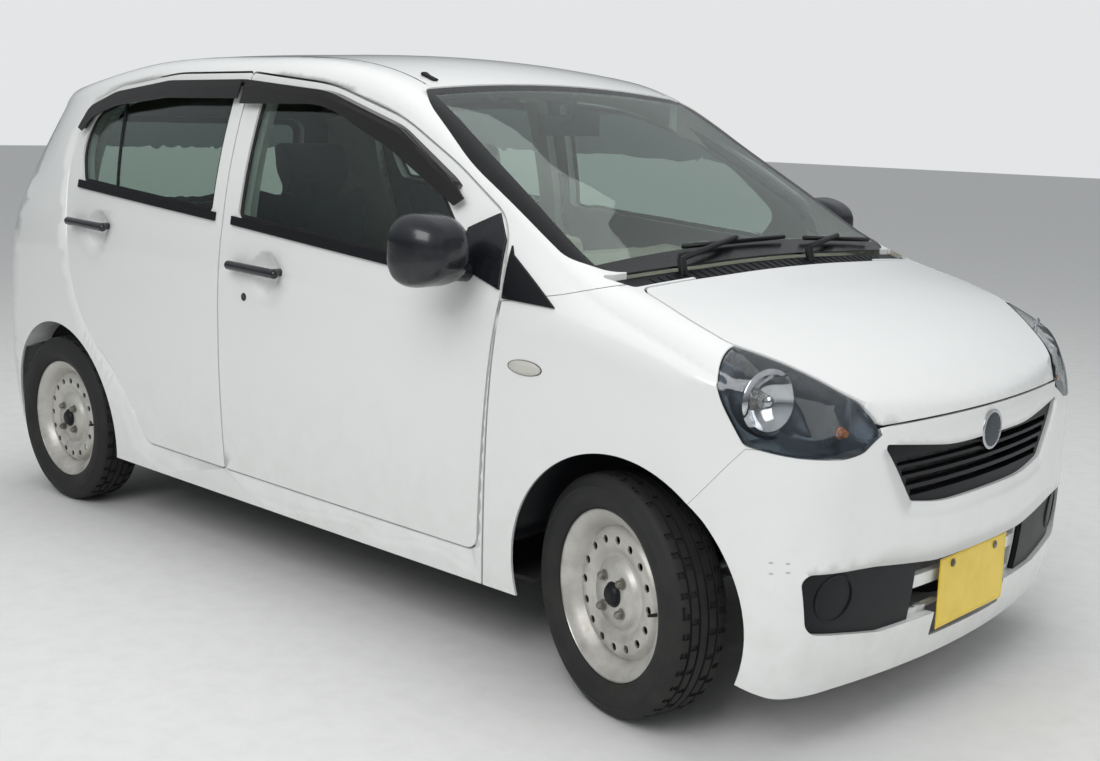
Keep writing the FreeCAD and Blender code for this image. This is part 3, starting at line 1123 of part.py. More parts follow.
# Rear suspension: twist beam, trailing arms, springs and the rear hubs in one welded unit
beam = [post("TwistBeam", 32, (-1117, -470, "270"), "%s * 2" % drawn_y(470), ALONG_Y)]
rear_places = (("Arm", rod(21, (along(-850), across(-480), 285), (along(-1117), across(-480), 270))),
               ("ArmEnd", rod(21, (along(-1117), across(-480), 270), (REAR_X, across(-592), HUB_Z))),
               ("Bush", rod(32.5, (along(-850), across(-455), 285), (along(-850), across(-505), 285))))
arms = [drawn("Rear" + label, shape) for label, shape in rear_places]
arms += hub_pieces(V(REAR_X, -size("track_rear") / 2, HUB_Z), 180, "RearHub")
arms.append(block("SpringSeat", (-1250, -495, 262), (-1120, -385, 282)))
arms.append(post("SpringForm", 44, (-1190, -440, 280), "%s + 193 - %s - 280" % (FLOOR_TOP, FIT)))
keep("rear_suspension", joined("RearSuspension", beam + sides(arms)))

# Under the floor: fuel tank and exhaust, both hung from it
keep("fuel_tank", block("FuelTank", (-882, -430, 178), (-500, 250, FLOOR_TOP + " + 103 - " + FIT)))
exhaust = pipe(21, ((1090, 330, 165), (980, 345, 160), (-1290, 345, 160), (-1400, 345, 290)))
exhaust = exhaust.fuse(rod(68, (along(-1470), across(120), 315), (along(-1470), across(500), 315)))
exhaust = exhaust.fuse(pipe(21, ((-1400, 345, 290), (-1440, 345, 315))))
exhaust = exhaust.fuse(pipe(17, ((-1470, 440, 300), (-1560, 440, 166), (-1668, 440, 162))))
for x, top in ((500, -12), (-250, -12), (-1470, 193)):
    hanger_foot, hanger_top = 170 + 120 * (x < -1000), size("floor_height") + top - size("seat_fit")
    exhaust = exhaust.fuse(rod(8, (along(x), across(345), hanger_foot), (along(x), across(345), hanger_top)))
add_feature("exhaust", exhaust)
doc.recompute()

# Every object must have computed cleanly before anything is written
for thing in doc.Objects:
    if "Invalid" in thing.State or "Error" in thing.State:
        raise RuntimeError("%s did not compute: %s" % (thing.Label, thing.State))
for name, feature in nodes.items():
    if feature.Shape.isNull() or not feature.Shape.Solids or not feature.Shape.isValid():
        raise RuntimeError("%s is not a sound solid" % name)

os.makedirs("parts", exist_ok=True)
for name, feature in nodes.items():
    feature.Shape.exportStep("parts/%s.step" % name)
print("wrote %d parts" % len(nodes))
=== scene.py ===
"""Dresses the kei car's frame: paint, glass, wheels, lamps, cabin, floor, light and camera."""
import logging
import math
from dataclasses import dataclass
from enum import Enum
from typing import Callable, Iterable, Optional, Sequence

import bmesh
import bpy
from bmesh.types import BMEdge, BMesh, BMVert
from bpy.types import ID, Material, Node, NodeSocket, NodeTree, Object
from mathutils import Matrix, Vector
from mathutils.bvhtree import BVHTree


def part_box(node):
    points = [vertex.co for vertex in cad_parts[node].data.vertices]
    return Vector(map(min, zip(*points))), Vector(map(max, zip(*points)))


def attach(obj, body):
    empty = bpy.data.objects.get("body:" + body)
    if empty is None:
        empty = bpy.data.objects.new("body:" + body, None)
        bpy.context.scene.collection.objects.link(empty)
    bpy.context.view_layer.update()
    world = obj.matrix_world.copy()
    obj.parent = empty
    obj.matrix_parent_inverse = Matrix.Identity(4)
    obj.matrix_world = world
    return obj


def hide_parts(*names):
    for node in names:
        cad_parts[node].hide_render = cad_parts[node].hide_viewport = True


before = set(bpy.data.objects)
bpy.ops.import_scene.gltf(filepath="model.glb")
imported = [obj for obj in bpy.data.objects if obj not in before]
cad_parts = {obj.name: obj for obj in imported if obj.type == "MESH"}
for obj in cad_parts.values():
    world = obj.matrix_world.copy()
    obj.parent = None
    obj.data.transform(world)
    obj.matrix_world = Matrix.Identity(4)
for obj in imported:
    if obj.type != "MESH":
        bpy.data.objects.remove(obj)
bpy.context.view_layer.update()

LOG = logging.getLogger("kei_car")
MM = 0.001
UP = Vector((0.0, 0.0, 1.0))
SIDES = (("right", -1.0), ("left", 1.0))
ENDS = ("front", "rear")
# Heights and distances outside the car, in metres, from which test lines start
ABOVE, BESIDE, BEYOND = 1.8, 1.2, 2.2
# Faces of doors and pillars that look inwards are trimmed out to this Y, in metres
CABIN_Y = 0.70


def linear(hex_code: str) -> tuple[float, float, float, float]:
    """Turns an sRGB hex colour into Blender's linear one.

    Args:
        hex_code: six hex digits, without a hash.

    Returns:
        Red, green, blue and full opacity.
    """
    values = [int(hex_code[place:place + 2], 16) / 255 for place in (0, 2, 4)]
    flat = [v / 12.92 if v <= 0.04045 else ((v + 0.055) / 1.055) ** 2.4 for v in values]
    return (*flat, 1.0)


def add_node(
    tree: NodeTree,
    kind: str,
    settings: Optional[dict] = None,
    links: Optional[dict] = None,
) -> Node:
    """Adds a node to a tree with its settings and links.

    Args:
        tree: the node tree.
        kind: the node's type name, without the word ShaderNode before it.
        settings: node properties, or input values by input name or number.
        links: output sockets by input name or number.

    Returns:
        The new node.
    """
    node = tree.nodes.new("ShaderNode" + kind)
    for key, value in (settings or {}).items():
        if isinstance(key, str) and hasattr(node, key):
            setattr(node, key, value)
        else:
            node.inputs[key].default_value = value
    for key, socket in (links or {}).items():
        tree.links.new(socket, node.inputs[key])
    return node


def ramp(node: Node, stops: Sequence[tuple[float, tuple]]) -> Node:
    """Sets a colour ramp's stops.

    Args:
        node: the Color Ramp node.
        stops: positions with their colours.

    Returns:
        The same node.
    """
    elements = node.color_ramp.elements
    while len(elements) < len(stops):
        elements.new(0.5)
    for element, (place, colour) in zip(elements, stops):
        element.position = place
        element.color = colour
    return node


class Grain(Enum):
    """How a surface's fine relief is made."""

    NONE = "none"
    MOULDED = "moulded"
    ORANGE_PEEL = "orange peel"
    CAST = "cast"
    WOVEN = "woven"
    BRUSHED = "brushed"


# Noise scale and depth of each relief: grain spacing and height in millimetres
RELIEF = {
    Grain.MOULDED: (1.6, 0.10),
    Grain.ORANGE_PEEL: (9.0, 0.006),
    Grain.CAST: (2.4, 0.25),
    Grain.BRUSHED: (3.0, 0.03),
}
# How far brushed lines are drawn out along Z, as a factor on the noise's scale there
BRUSHED_STRETCH = 0.05
# Distance between a cloth's threads, in millimetres: coarser than real ones, so that they show
THREAD_SPACING = 6.0415
# Distance between worn patches, in millimetres
PATCH_SPACING = 71.4286
# Heights in metres between which the road film thickens downwards
FILM_TOP, FILM_FOOT = 0.62, 0.16
# A rubbed mark's colour, how much flatter than wide it is, and how much it covers at its middle
SCUFF_COLOUR, SCUFF_SQUASH, SCUFF_COVER = "4B4C4E", 2.2, 0.75


@dataclass(frozen=True)
class Finish:
    """One real material and how its surface was made."""

    name: str
    colour: str
    worn: str
    roughness: float
    metallic: float = 0.0
    coat: float = 0.0
    grain: Grain = Grain.NONE
    dirt: float = 0.0
    edge_radius_mm: float = 0.0
    transmission: float = 0.0
    ior: float = 1.5
    sheen: float = 0.0
    specular: float = 0.5
    scuffs: tuple[tuple[float, float, float], ...] = ()
    scuff_radius_mm: float = 7.0

    def make(self) -> Material:
        """Builds the finish as a procedural material on Object coordinates.

        Returns:
            The material.
        """
        material = bpy.data.materials.get(self.name)
        if material is not None:
            return material
        material = bpy.data.materials.new(self.name)
        material.use_nodes = True
        tree = material.node_tree
        shader = tree.nodes["Principled BSDF"]
        values = {"Roughness": self.roughness, "Metallic": self.metallic, "IOR": self.ior,
                  "Specular IOR Level": self.specular, "Coat Weight": self.coat, "Coat Roughness": 0.03,
                  "Transmission Weight": self.transmission, "Sheen Weight": self.sheen}
        for name, value in values.items():
            shader.inputs[name].default_value = value
        place = add_node(tree, "TexCoord").outputs["Object"]
        self._colour(tree, shader, place)
        self._relief(tree, shader, place)
        return material

    def _colour(self, tree: NodeTree, shader: Node, place: NodeSocket) -> None:
        """Mixes the clean colour with its worn or dirty one.

        Args:
            tree: the material's node tree.
            shader: its Principled shader.
            place: the Object coordinates.
        """
        if self.transmission > 0.5:
            shader.inputs["Base Color"].default_value = linear(self.colour)
            return
        patchy = {"Scale": 1.0 / (PATCH_SPACING * MM), "Detail": 6.0, "Roughness": 0.62}
        cloud = add_node(tree, "TexNoise", patchy, {"Vector": place})
        patch = ramp(add_node(tree, "ValToRGB", links={"Fac": cloud.outputs["Fac"]}),
                     ((0.42, (0, 0, 0, 1)), (0.78, (1, 1, 1, 1))))
        share = patch.outputs["Color"]
        if self.dirt:
            # Road film: thickest low down on the car
            height = add_node(tree, "SeparateXYZ", links={"Vector": place}).outputs["Z"]
            low = add_node(tree, "MapRange", {"From Min": FILM_TOP, "From Max": FILM_FOOT, "To Min": 0.10},
                           {"Value": height})
            film = add_node(tree, "Math", {"operation": "MULTIPLY"}, {0: share, 1: low.outputs[0]})
            faint = add_node(tree, "Math", {"operation": "MULTIPLY", 1: self.dirt}, {0: film.outputs[0]})
            share = faint.outputs[0]
        mixed = add_node(tree, "Mix", {"data_type": "RGBA", 6: linear(self.colour), 7: linear(self.worn)},
                         {0: share})
        for x, y, z in self.scuffs:
            # A rubbed mark fades out from its middle
            flat = add_node(tree, "VectorMath", {"operation": "MULTIPLY", 1: (1.0, 1.0, SCUFF_SQUASH)},
                            {0: place})
            away = add_node(tree, "VectorMath", {"operation": "DISTANCE", 1: (x, y, z * SCUFF_SQUASH)},
                            {0: flat.outputs[0]})
            fade = {"From Min": self.scuff_radius_mm * MM, "From Max": 0.0, "To Max": SCUFF_COVER}
            mark = add_node(tree, "MapRange", fade, {"Value": away.outputs["Value"]})
            mixed = add_node(tree, "Mix", {"data_type": "RGBA", 7: linear(SCUFF_COLOUR)},
                             {0: mark.outputs[0], 6: mixed.outputs[2]})
        tree.links.new(mixed.outputs[2], shader.inputs["Base Color"])
        rougher = min(1.0, self.roughness + 0.12)
        rough = add_node(tree, "MapRange", {"To Min": self.roughness, "To Max": rougher}, {"Value": share})
        tree.links.new(rough.outputs[0], shader.inputs["Roughness"])

    def _relief(self, tree: NodeTree, shader: Node, place: NodeSocket) -> None:
        """Adds the surface's fine relief, and rounds sharp edges where a real one is rounded.

        Args:
            tree: the material's node tree.
            shader: its Principled shader.
            place: the Object coordinates.
        """
        normal = None
        if self.edge_radius_mm:
            rounded = add_node(tree, "Bevel", {"samples": 4, "Radius": self.edge_radius_mm * MM})
            normal = rounded.outputs["Normal"]
        if self.grain in RELIEF:
            spacing, depth = RELIEF[self.grain]
            stretch = (1.0, 1.0, BRUSHED_STRETCH if self.grain is Grain.BRUSHED else 1.0)
            mapped = add_node(tree, "Mapping", {"Scale": stretch}, {"Vector": place})
            noise = add_node(tree, "TexNoise", {"Scale": 1.0 / (spacing * MM), "Detail": 3.0},
                             {"Vector": mapped.outputs[0]})
            bump = add_node(tree, "Bump", {"Strength": 1.0, "Distance": depth * MM},
                            {"Height": noise.outputs["Fac"]})
            if normal is not None:
                tree.links.new(normal, bump.inputs["Normal"])
            normal = bump.outputs["Normal"]
        if self.grain is Grain.WOVEN:
            normal = self._weave(tree, place)
        if normal is not None:
            tree.links.new(normal, shader.inputs["Normal"])

    def _weave(self, tree: NodeTree, place: NodeSocket) -> NodeSocket:
        """Relief of a plain weave, drawn coarse enough to show.

        Args:
            tree: the material's node tree.
            place: the Object coordinates.

        Returns:
            The normal.
        """
        waves = []
        for axis in ("Y", "Z"):
            scale = math.pi / (10 * THREAD_SPACING * MM)
            wave = add_node(tree, "TexWave", {"bands_direction": axis, "Scale": scale, "Distortion": 1.2},
                            {"Vector": place})
            waves.append(wave.outputs["Fac"])
        both = add_node(tree, "Math", {"operation": "MULTIPLY"}, {0: waves[0], 1: waves[1]})
        bump = add_node(tree, "Bump", {"Strength": 0.7, "Distance": 0.5 * MM}, {"Height": both.outputs[0]})
        return bump.outputs["Normal"]


# Solid white body enamel under a clear coat: bright, with a faint grey road film low down
WHITE_ENAMEL = Finish("white_body_enamel", "E9EAE8", "B9B5AA", 0.26, coat=0.9, grain=Grain.ORANGE_PEEL,
                      dirt=0.22, edge_radius_mm=1.8)
# The same white on unseen inner pressings, without the clear coat
WHITE_PRIMER = Finish("white_inner_enamel", "D5D6D3", "A9A59A", 0.45, dirt=0.5, edge_radius_mm=1.0)
# The front bumper's enamel, rubbed in four small dark scuffs on its right corner
SCUFFED_ENAMEL = Finish("scuffed_white_bumper_enamel", "E9EAE8", "B9B5AA", 0.28, coat=0.8,
                        grain=Grain.ORANGE_PEEL, dirt=0.25, edge_radius_mm=1.8,
                        scuffs=((1.5603, -0.6724, 0.444), (1.5614, -0.6716, 0.4207), (1.5859, -0.6489, 0.443),
                                (1.5867, -0.6481, 0.4238)))
# Black polypropylene mouldings: satin, with a fine moulded grain
BLACK_MOULDED = Finish("black_moulded_polypropylene", "0E1014", "1C1D20", 0.42, specular=0.3,
                       grain=Grain.MOULDED, dirt=0.4, edge_radius_mm=1.0)
# Unpainted mirror housings and handles: dark grey ABS with a sheen
DARK_ABS = Finish("dark_grey_moulded_abs", "13151A", "212328", 0.24, coat=0.3, grain=Grain.MOULDED,
                  edge_radius_mm=1.5)
# Gloss black lacquer behind the glass edges
BLACK_ENAMEL = Finish("black_ceramic_enamel", "08090A", "0E0E0E", 0.22)
# Extruded EPDM rubber of seals and gaskets: dull black
SEAL_RUBBER = Finish("black_epdm_rubber", "101011", "1E1E1E", 0.6)
# Vulcanised tyre rubber: dull, greyed by dust in patches, most near the ground
TYRE_RUBBER = Finish("vulcanised_tyre_rubber", "1C1C1D", "38352F", 0.72, grain=Grain.MOULDED, dirt=0.7)
# Silver-painted pressed steel wheels: a soft sheen under brake dust
WHEEL_ENAMEL = Finish("silver_painted_pressed_steel", "C8C6C0", "8A8478", 0.38, metallic=0.35,
                      grain=Grain.ORANGE_PEEL, dirt=0.8, edge_radius_mm=1.2)
# Bare bright steel where the rim's edge has lost its paint
WORN_EDGE = Finish("bright_worn_rim_edge", "C9C8C4", "8A857C", 0.3, metallic=0.85, grain=Grain.BRUSHED)
# Zinc-plated nuts and bolts: grey and faintly speckled
ZINC_STEEL = Finish("zinc_plated_steel", "9A9890", "5E5850", 0.38, metallic=0.9, grain=Grain.CAST,
                    edge_radius_mm=0.6)
# Windows: clear toughened glass with a faint green tint
WINDOW_GLASS = Finish("green_tinted_toughened_glass", "D9E8E0", "D9E8E0", 0.0, transmission=1.0, ior=1.45)
# Dark smoked acrylic of the window visors: glossy, nearly black
SMOKED_ACRYLIC = Finish("smoked_acrylic", "24211F", "24211F", 0.04, transmission=0.75, ior=1.49)
# Clear polycarbonate of the headlamps
CLEAR_POLYCARBONATE = Finish("clear_polycarbonate", "F4F6F6", "F4F6F6", 0.0, transmission=1.0, ior=1.45)
# Vacuum-metallised reflectors: nearly a mirror
METALLISED = Finish("vacuum_metallised_plastic", "D8D9DC", "B8B9BC", 0.09, metallic=1.0)
# Headlamp bezel: dark grey plastic with a thin metallised coat
GREY_BEZEL = Finish("smoke_grey_lamp_bezel", "3A444E", "2A323A", 0.22, metallic=0.6, edge_radius_mm=1.0)
# Chrome plate on moulded plastic: bright, slightly softened
CHROME = Finish("bright_chrome_plate", "D5D6D8", "A8A8A8", 0.12, metallic=1.0, edge_radius_mm=0.8)
# Silvered glass of the mirrors
MIRROR_GLASS = Finish("silvered_mirror_glass", "E6E8EA", "D8DADC", 0.02, metallic=1.0)
# Frosted glass envelope of the main bulbs
BULB_GLASS = Finish("frosted_bulb_glass", "E8E6DE", "D8D4C8", 0.25, transmission=0.45)
# Moulded acrylic lenses: amber, red and a milky clear one, each a little translucent
AMBER_ACRYLIC = Finish("amber_acrylic", "E07A14", "C86810", 0.12, transmission=0.35, coat=0.5)
RED_ACRYLIC = Finish("red_acrylic", "A30F12", "8C0C10", 0.12, transmission=0.35, coat=0.5)
PALE_LENS = Finish("pearl_clear_acrylic", "D8D6CE", "C8C4BA", 0.16, transmission=0.2, coat=0.6)
# Blank number plates: embossed aluminium in yellow enamel, as kei cars carry
PLATE_ENAMEL = Finish("yellow_plate_enamel", "F0D040", "E6C436", 0.32, coat=0.3, edge_radius_mm=1.0)
# Enamelled spring-steel arms and blades of the wipers
SATIN_BLACK_STEEL = Finish("satin_black_enamelled_steel", "121314", "242424", 0.38, edge_radius_mm=0.6)
# Seats: dark grey woven polyester; the cloth's loops catch the light a little
SEAT_CLOTH = Finish("woven_polyester_seat_cloth", "33343A", "404148", 0.85, grain=Grain.WOVEN, sheen=0.3)
# Grained beige-grey dashboard moulding
DASH_GRAIN = Finish("beige_grained_polypropylene", "A8A294", "989284", 0.55, grain=Grain.MOULDED,
                    edge_radius_mm=3.0)
# Grained mouldings of the doors and pillars, and the knitted roof lining: pale and matt
TRIM_GRAIN = Finish("grey_grained_door_trim", "6F6C66", "64615B", 0.6, grain=Grain.MOULDED)
PILLAR_TRIM = Finish("pale_grained_pillar_trim", "B4B0A6", "A5A198", 0.6, grain=Grain.MOULDED)
HEADLINER = Finish("pale_knitted_headlining", "A5A29A", "99968E", 0.9, grain=Grain.WOVEN)
# Needled floor carpet: dark, with no shine at all
CARPET = Finish("dark_needled_carpet", "2E2D2C", "3C3A38", 0.95, grain=Grain.CAST)
# Dipped black enamel on chassis steel, browned by road dirt
CHASSIS_BLACK = Finish("black_chassis_enamel", "16171A", "4A4034", 0.5, grain=Grain.CAST, dirt=0.8,
                       edge_radius_mm=1.0)
# Sand-cast aluminium of engine and radiator, and cast iron of the knuckles: rough and dull
CAST_ALLOY = Finish("sand_cast_aluminium", "8C8D8C", "5B5650", 0.5, metallic=0.7, grain=Grain.CAST,
                    edge_radius_mm=2.0)
CAST_IRON = Finish("grey_cast_iron", "4B463F", "5F3F28", 0.65, metallic=0.5, grain=Grain.CAST,
                   edge_radius_mm=1.2)
# Aluminised exhaust steel with drawn lines, browned by heat
EXHAUST_STEEL = Finish("brushed_exhaust_steel", "77706A", "5A4534", 0.42, metallic=0.8, grain=Grain.BRUSHED)
# The studio's matt floor
PALE_FLOOR = Finish("pale_matt_studio_floor", "DADAD8", "D3D3D1", 0.75)


def merged(node: str) -> BMesh:
    """A CAD node's mesh with its loose triangles joined.

    Args:
        node: the CAD node.

    Returns:
        A new mesh.
    """
    mesh = bmesh.new()
    mesh.from_mesh(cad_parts[node].data)
    bmesh.ops.remove_doubles(mesh, verts=mesh.verts, dist=0.01 * MM)
    return mesh


def islands(node: str) -> list[BMesh]:
    """The separate solids of a CAD node.

    Args:
        node: the CAD node.

    Returns:
        One mesh for each solid, the right-hand ones first.
    """
    whole = merged(node)
    left = set(whole.verts)
    pieces = []
    while left:
        stack = [min(left, key=lambda vert: vert.index)]
        group = set(stack)
        while stack:
            for edge in stack.pop().link_edges:
                fresh = [vert for vert in edge.verts if vert not in group]
                group.update(fresh)
                stack.extend(fresh)
        left -= group
        kept = {vert.index for vert in group}
        piece = whole.copy()
        others = [vert for vert in piece.verts if vert.index not in kept]
        bmesh.ops.delete(piece, geom=others, context="VERTS")
        pieces.append(piece)
    whole.free()
    return sorted(pieces, key=lambda piece: centre_of(piece).y)


def turned_out(mesh: BMesh) -> BMesh:
    """Turns a closed mesh's faces outwards."""
    bmesh.ops.recalc_face_normals(mesh, faces=mesh.faces)
    return mesh


def round_edges(mesh: BMesh, edges: Sequence[BMEdge], radius: float, segments: int) -> None:
    """Rounds edges by a radius in metres, with a number of faces across each."""
    bmesh.ops.bevel(mesh, geom=edges, offset=radius, segments=segments, profile=0.5, affect="EDGES",
                    material=-1)


def sliced(mesh: BMesh, place: Sequence[float], normal: Sequence[float]) -> None:
    """Parts a mesh's faces along a plane, and keeps both sides."""
    whole = mesh.verts[:] + mesh.edges[:] + mesh.faces[:]
    bmesh.ops.bisect_plane(mesh, geom=whole, plane_co=place, plane_no=normal)


def extent(mesh: BMesh) -> tuple[Vector, Vector]:
    """The corners of a mesh's box.

    Args:
        mesh: the mesh.

    Returns:
        Its lowest and its highest corner.
    """
    places = [vert.co for vert in mesh.verts]
    low = Vector([min(place[axis] for place in places) for axis in range(3)])
    high = Vector([max(place[axis] for place in places) for axis in range(3)])
    return low, high


def centre_of(mesh: BMesh) -> Vector:
    """The middle of a mesh's box."""
    low, high = extent(mesh)
    return (low + high) / 2


def skin_hit(node: str, start: Sequence[float], towards: Sequence[float]) -> tuple[Vector, Vector]:
    """Finds where a straight line first meets a CAD node.

    Args:
        node: the CAD node.
        start: where the line starts, in metres.
        towards: the line's direction.

    Returns:
        The place and the surface's direction there.
    """
    mesh = merged(node)
    tree = BVHTree.FromBMesh(mesh)
    place, normal, _, _ = tree.ray_cast(Vector(start), Vector(towards).normalized())
    mesh.free()
    if place is None:
        raise ValueError(f"nothing of {node} along the line from {tuple(start)}")
    if normal.dot(Vector(towards)) > 0:
        normal = -normal
    return place, normal


def outward(side: float) -> Vector:
    """The direction out of the car on a side."""
    return Vector((0.0, side, 0.0))


def from_above(node: str, x: float, y: float) -> tuple[Vector, Vector]:
    """Where a line straight down meets a CAD node at X and Y in metres, with the surface's direction."""
    return skin_hit(node, (x, y, ABOVE), (0, 0, -1))


def from_behind(node: str, y: float, z: float) -> tuple[Vector, Vector]:
    """Where a line straight ahead meets a CAD node at Y and Z in metres, with the surface's direction."""
    return skin_hit(node, (-BEYOND, y, z), (1, 0, 0))


def from_side(node: str, side: float, x: float, z: float) -> Matrix:
    """A frame on a CAD node's skin, met from a side of the car at X and Z in millimetres."""
    return facing(*skin_hit(node, (x * MM, side * BESIDE, z * MM), -outward(side)))


def facing(place: Vector, normal: Vector, up: Sequence[float] = (0, 0, 1)) -> Matrix:
    """A frame on a surface: Z along its normal and Y as near up as can be.

    Args:
        place: the frame's origin, in metres.
        normal: the surface's direction.
        up: what Y leans towards.

    Returns:
        The frame's matrix.
    """
    z = normal.normalized()
    x = Vector(up).cross(z).normalized()
    y = z.cross(x)
    turn = Matrix((x, y, z)).transposed().to_4x4()
    return Matrix.Translation(place) @ turn


def spun(profile: Sequence[tuple[float, float]], steps: int, closed: bool = False) -> BMesh:
    """Turns a profile about the Z axis.

    Args:
        profile: points of (radius, height along the axis), in millimetres.
        steps: faces round a full turn.
        closed: whether the profile's last point joins its first.

    Returns:
        A new mesh about the origin.
    """
    mesh = bmesh.new()
    verts = [mesh.verts.new((radius * MM, 0.0, height * MM)) for radius, height in profile]
    edges = [mesh.edges.new(pair) for pair in zip(verts, verts[1:])]
    if closed:
        edges.append(mesh.edges.new((verts[-1], verts[0])))
    bmesh.ops.spin(mesh, geom=verts + edges, cent=(0, 0, 0), axis=(0, 0, 1), angle=2 * math.pi, steps=steps,
                   use_merge=True)
    bmesh.ops.remove_doubles(mesh, verts=mesh.verts, dist=0.01 * MM)
    return turned_out(mesh)


def moved(mesh: BMesh, matrix: Matrix) -> BMesh:
    """Places a mesh by a matrix."""
    bmesh.ops.transform(mesh, matrix=matrix, verts=mesh.verts)
    return mesh


def joined(meshes: Sequence[BMesh]) -> BMesh:
    """Joins meshes into the first of them.

    Args:
        meshes: the meshes. All but the first are freed.

    Returns:
        The first mesh, with the others' faces added.
    """
    first = meshes[0]
    for other in meshes[1:]:
        data = bpy.data.meshes.new("join")
        other.to_mesh(data)
        other.free()
        first.from_mesh(data)
        bpy.data.meshes.remove(data)
    return first


def block(low: Sequence[float], high: Sequence[float], radius: float, segments: int) -> BMesh:
    """A box with rounded edges, in millimetres.

    Args:
        low: its lowest corner.
        high: its highest corner.
        radius: the edges' radius.
        segments: faces across each rounded edge.

    Returns:
        A new mesh.
    """
    mesh = bmesh.new()
    low, high = Vector(low) * MM, Vector(high) * MM
    matrix = Matrix.Translation((low + high) / 2) @ Matrix.Diagonal((*(high - low), 1.0))
    bmesh.ops.create_cube(mesh, size=1.0, matrix=matrix)
    round_edges(mesh, mesh.edges[:], radius * MM, segments)
    return turned_out(mesh)


def slab(half_x: float, half_y: float, thick: float, corner: float, rim: float) -> BMesh:
    """A flat plate with rounded corners on the XY plane, its back at Z 0, in millimetres.

    Args:
        half_x: half its width.
        half_y: half its height.
        thick: its thickness.
        corner: its corners' radius.
        rim: its front rim's radius.

    Returns:
        A new mesh.
    """
    mesh = bmesh.new()
    size = (2 * half_x * MM, 2 * half_y * MM, thick * MM, 1.0)
    matrix = Matrix.Translation((0, 0, thick * MM / 2)) @ Matrix.Diagonal(size)
    bmesh.ops.create_cube(mesh, size=1.0, matrix=matrix)
    upright = [edge for edge in mesh.edges if abs(edge.verts[0].co.z - edge.verts[1].co.z) > 0.1 * MM]
    round_edges(mesh, upright, corner * MM, 10)
    front = [edge for edge in mesh.edges if all(vert.co.z > (thick - 0.01) * MM for vert in edge.verts)]
    round_edges(mesh, front, rim * MM, 2)
    return turned_out(mesh)


def sheet(points: Sequence[Sequence[Vector]], thick: float) -> BMesh:
    """A thin curved sheet through rows of points.

    Args:
        points: equal rows of points, in metres.
        thick: its thickness, in millimetres.

    Returns:
        The sheet's mesh.
    """
    rows, columns = len(points) - 1, len(points[0]) - 1
    mesh = bmesh.new()
    bmesh.ops.create_grid(mesh, x_segments=columns, y_segments=rows, size=0.5)
    for vert in mesh.verts:
        vert.co = points[round((vert.co.y + 0.5) * rows)][round((vert.co.x + 0.5) * columns)]
    bmesh.ops.solidify(mesh, geom=mesh.faces[:], thickness=thick * MM)
    return turned_out(mesh)


def bar(start: Sequence[float], end: Sequence[float], radius: float, end_radius: float,
        segments: int = 20) -> BMesh:
    """A tapered round bar between two points, its ends rounded, in millimetres.

    Args:
        start: one end.
        end: the other end.
        radius: its radius at the first end.
        end_radius: its radius at the other end.
        segments: faces round it.

    Returns:
        A new mesh.
    """
    mesh = bmesh.new()
    start, end = Vector(start) * MM, Vector(end) * MM
    along = end - start
    matrix = Matrix.Translation((start + end) / 2) @ along.to_track_quat("Z", "Y").to_matrix().to_4x4()
    bmesh.ops.create_cone(mesh, cap_ends=True, segments=segments, radius1=radius * MM,
                          radius2=end_radius * MM, depth=along.length, matrix=matrix)
    rims = [edge for edge in mesh.edges if edge.calc_face_angle() > 1.0]
    round_edges(mesh, rims, min(radius * 0.25, 1.5) * MM, 2)
    return mesh


def stand(name: str, data: ID) -> Object:
    """Stands data in the scene as an object.

    Args:
        name: the object's name.
        data: a mesh, lamp or camera.

    Returns:
        The object.
    """
    thing = bpy.data.objects.new(name, data)
    bpy.context.scene.collection.objects.link(thing)
    return thing


@dataclass
class Assembly:
    """A sub-assembly of the car and the body that it rides on."""

    body: str = "body"

    def add(self, mesh: BMesh, name: str, finish: Finish, slot: str, body: Optional[str] = None,
            replaces: Iterable[str] = (), second: Optional[Finish] = None, crease_deg: float = 32.0,
            ) -> Object:
        """Turns a mesh into a finished piece that rides on a body.

        Args:
            mesh: the piece's mesh, in the car's own place. It is freed.
            name: the piece's name.
            finish: what it is made of.
            slot: the record's material slot; not used.
            body: the body it rides on, if not the assembly's own.
            replaces: CAD nodes that it stands for.
            second: the finish of the faces marked 1.
            crease_deg: edges sharper than this stay crisp.

        Returns:
            The piece.
        """
        data = bpy.data.meshes.new(name)
        mesh.to_mesh(data)
        mesh.free()
        data.materials.append(finish.make())
        if second is not None:
            data.materials.append(second.make())
        data.shade_smooth()
        data.set_sharp_from_angle(angle=math.radians(crease_deg))
        piece = stand(name, data)
        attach(piece, body or self.body)
        if replaces:
            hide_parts(*replaces)
        LOG.info("%s: %d faces", name, len(data.polygons))
        return piece

    def dress(self, node: str, finish: Finish, slot: str, body: Optional[str] = None,
              name: Optional[str] = None, inner: Optional[Finish] = None,
              inwards: Optional[Callable] = None) -> None:
        """Stands a merged, smooth-shaded copy of a CAD node in for it.

        Args:
            node: the CAD node.
            finish: what it is made of.
            slot: the record's material slot; not used.
            body: the body it rides on, if not the assembly's own.
            name: the piece's name, if not the node's with _skin added.
            inner: the finish of its cabin side.
            inwards: tells whether a face is on the cabin side.
        """
        mesh = merged(node)
        if inwards is not None:
            mesh.normal_update()
            for face in mesh.faces:
                face.material_index = int(inwards(face))
        self.add(mesh, name or node + "_skin", finish, slot, body, (node,), inner)


def cabin_side(side: float) -> Callable:
    """A test for faces that look into the cabin from a side's doors and pillars."""
    return lambda face: face.normal.y * side < -0.6 and abs(face.calc_center_median().y) < CABIN_Y


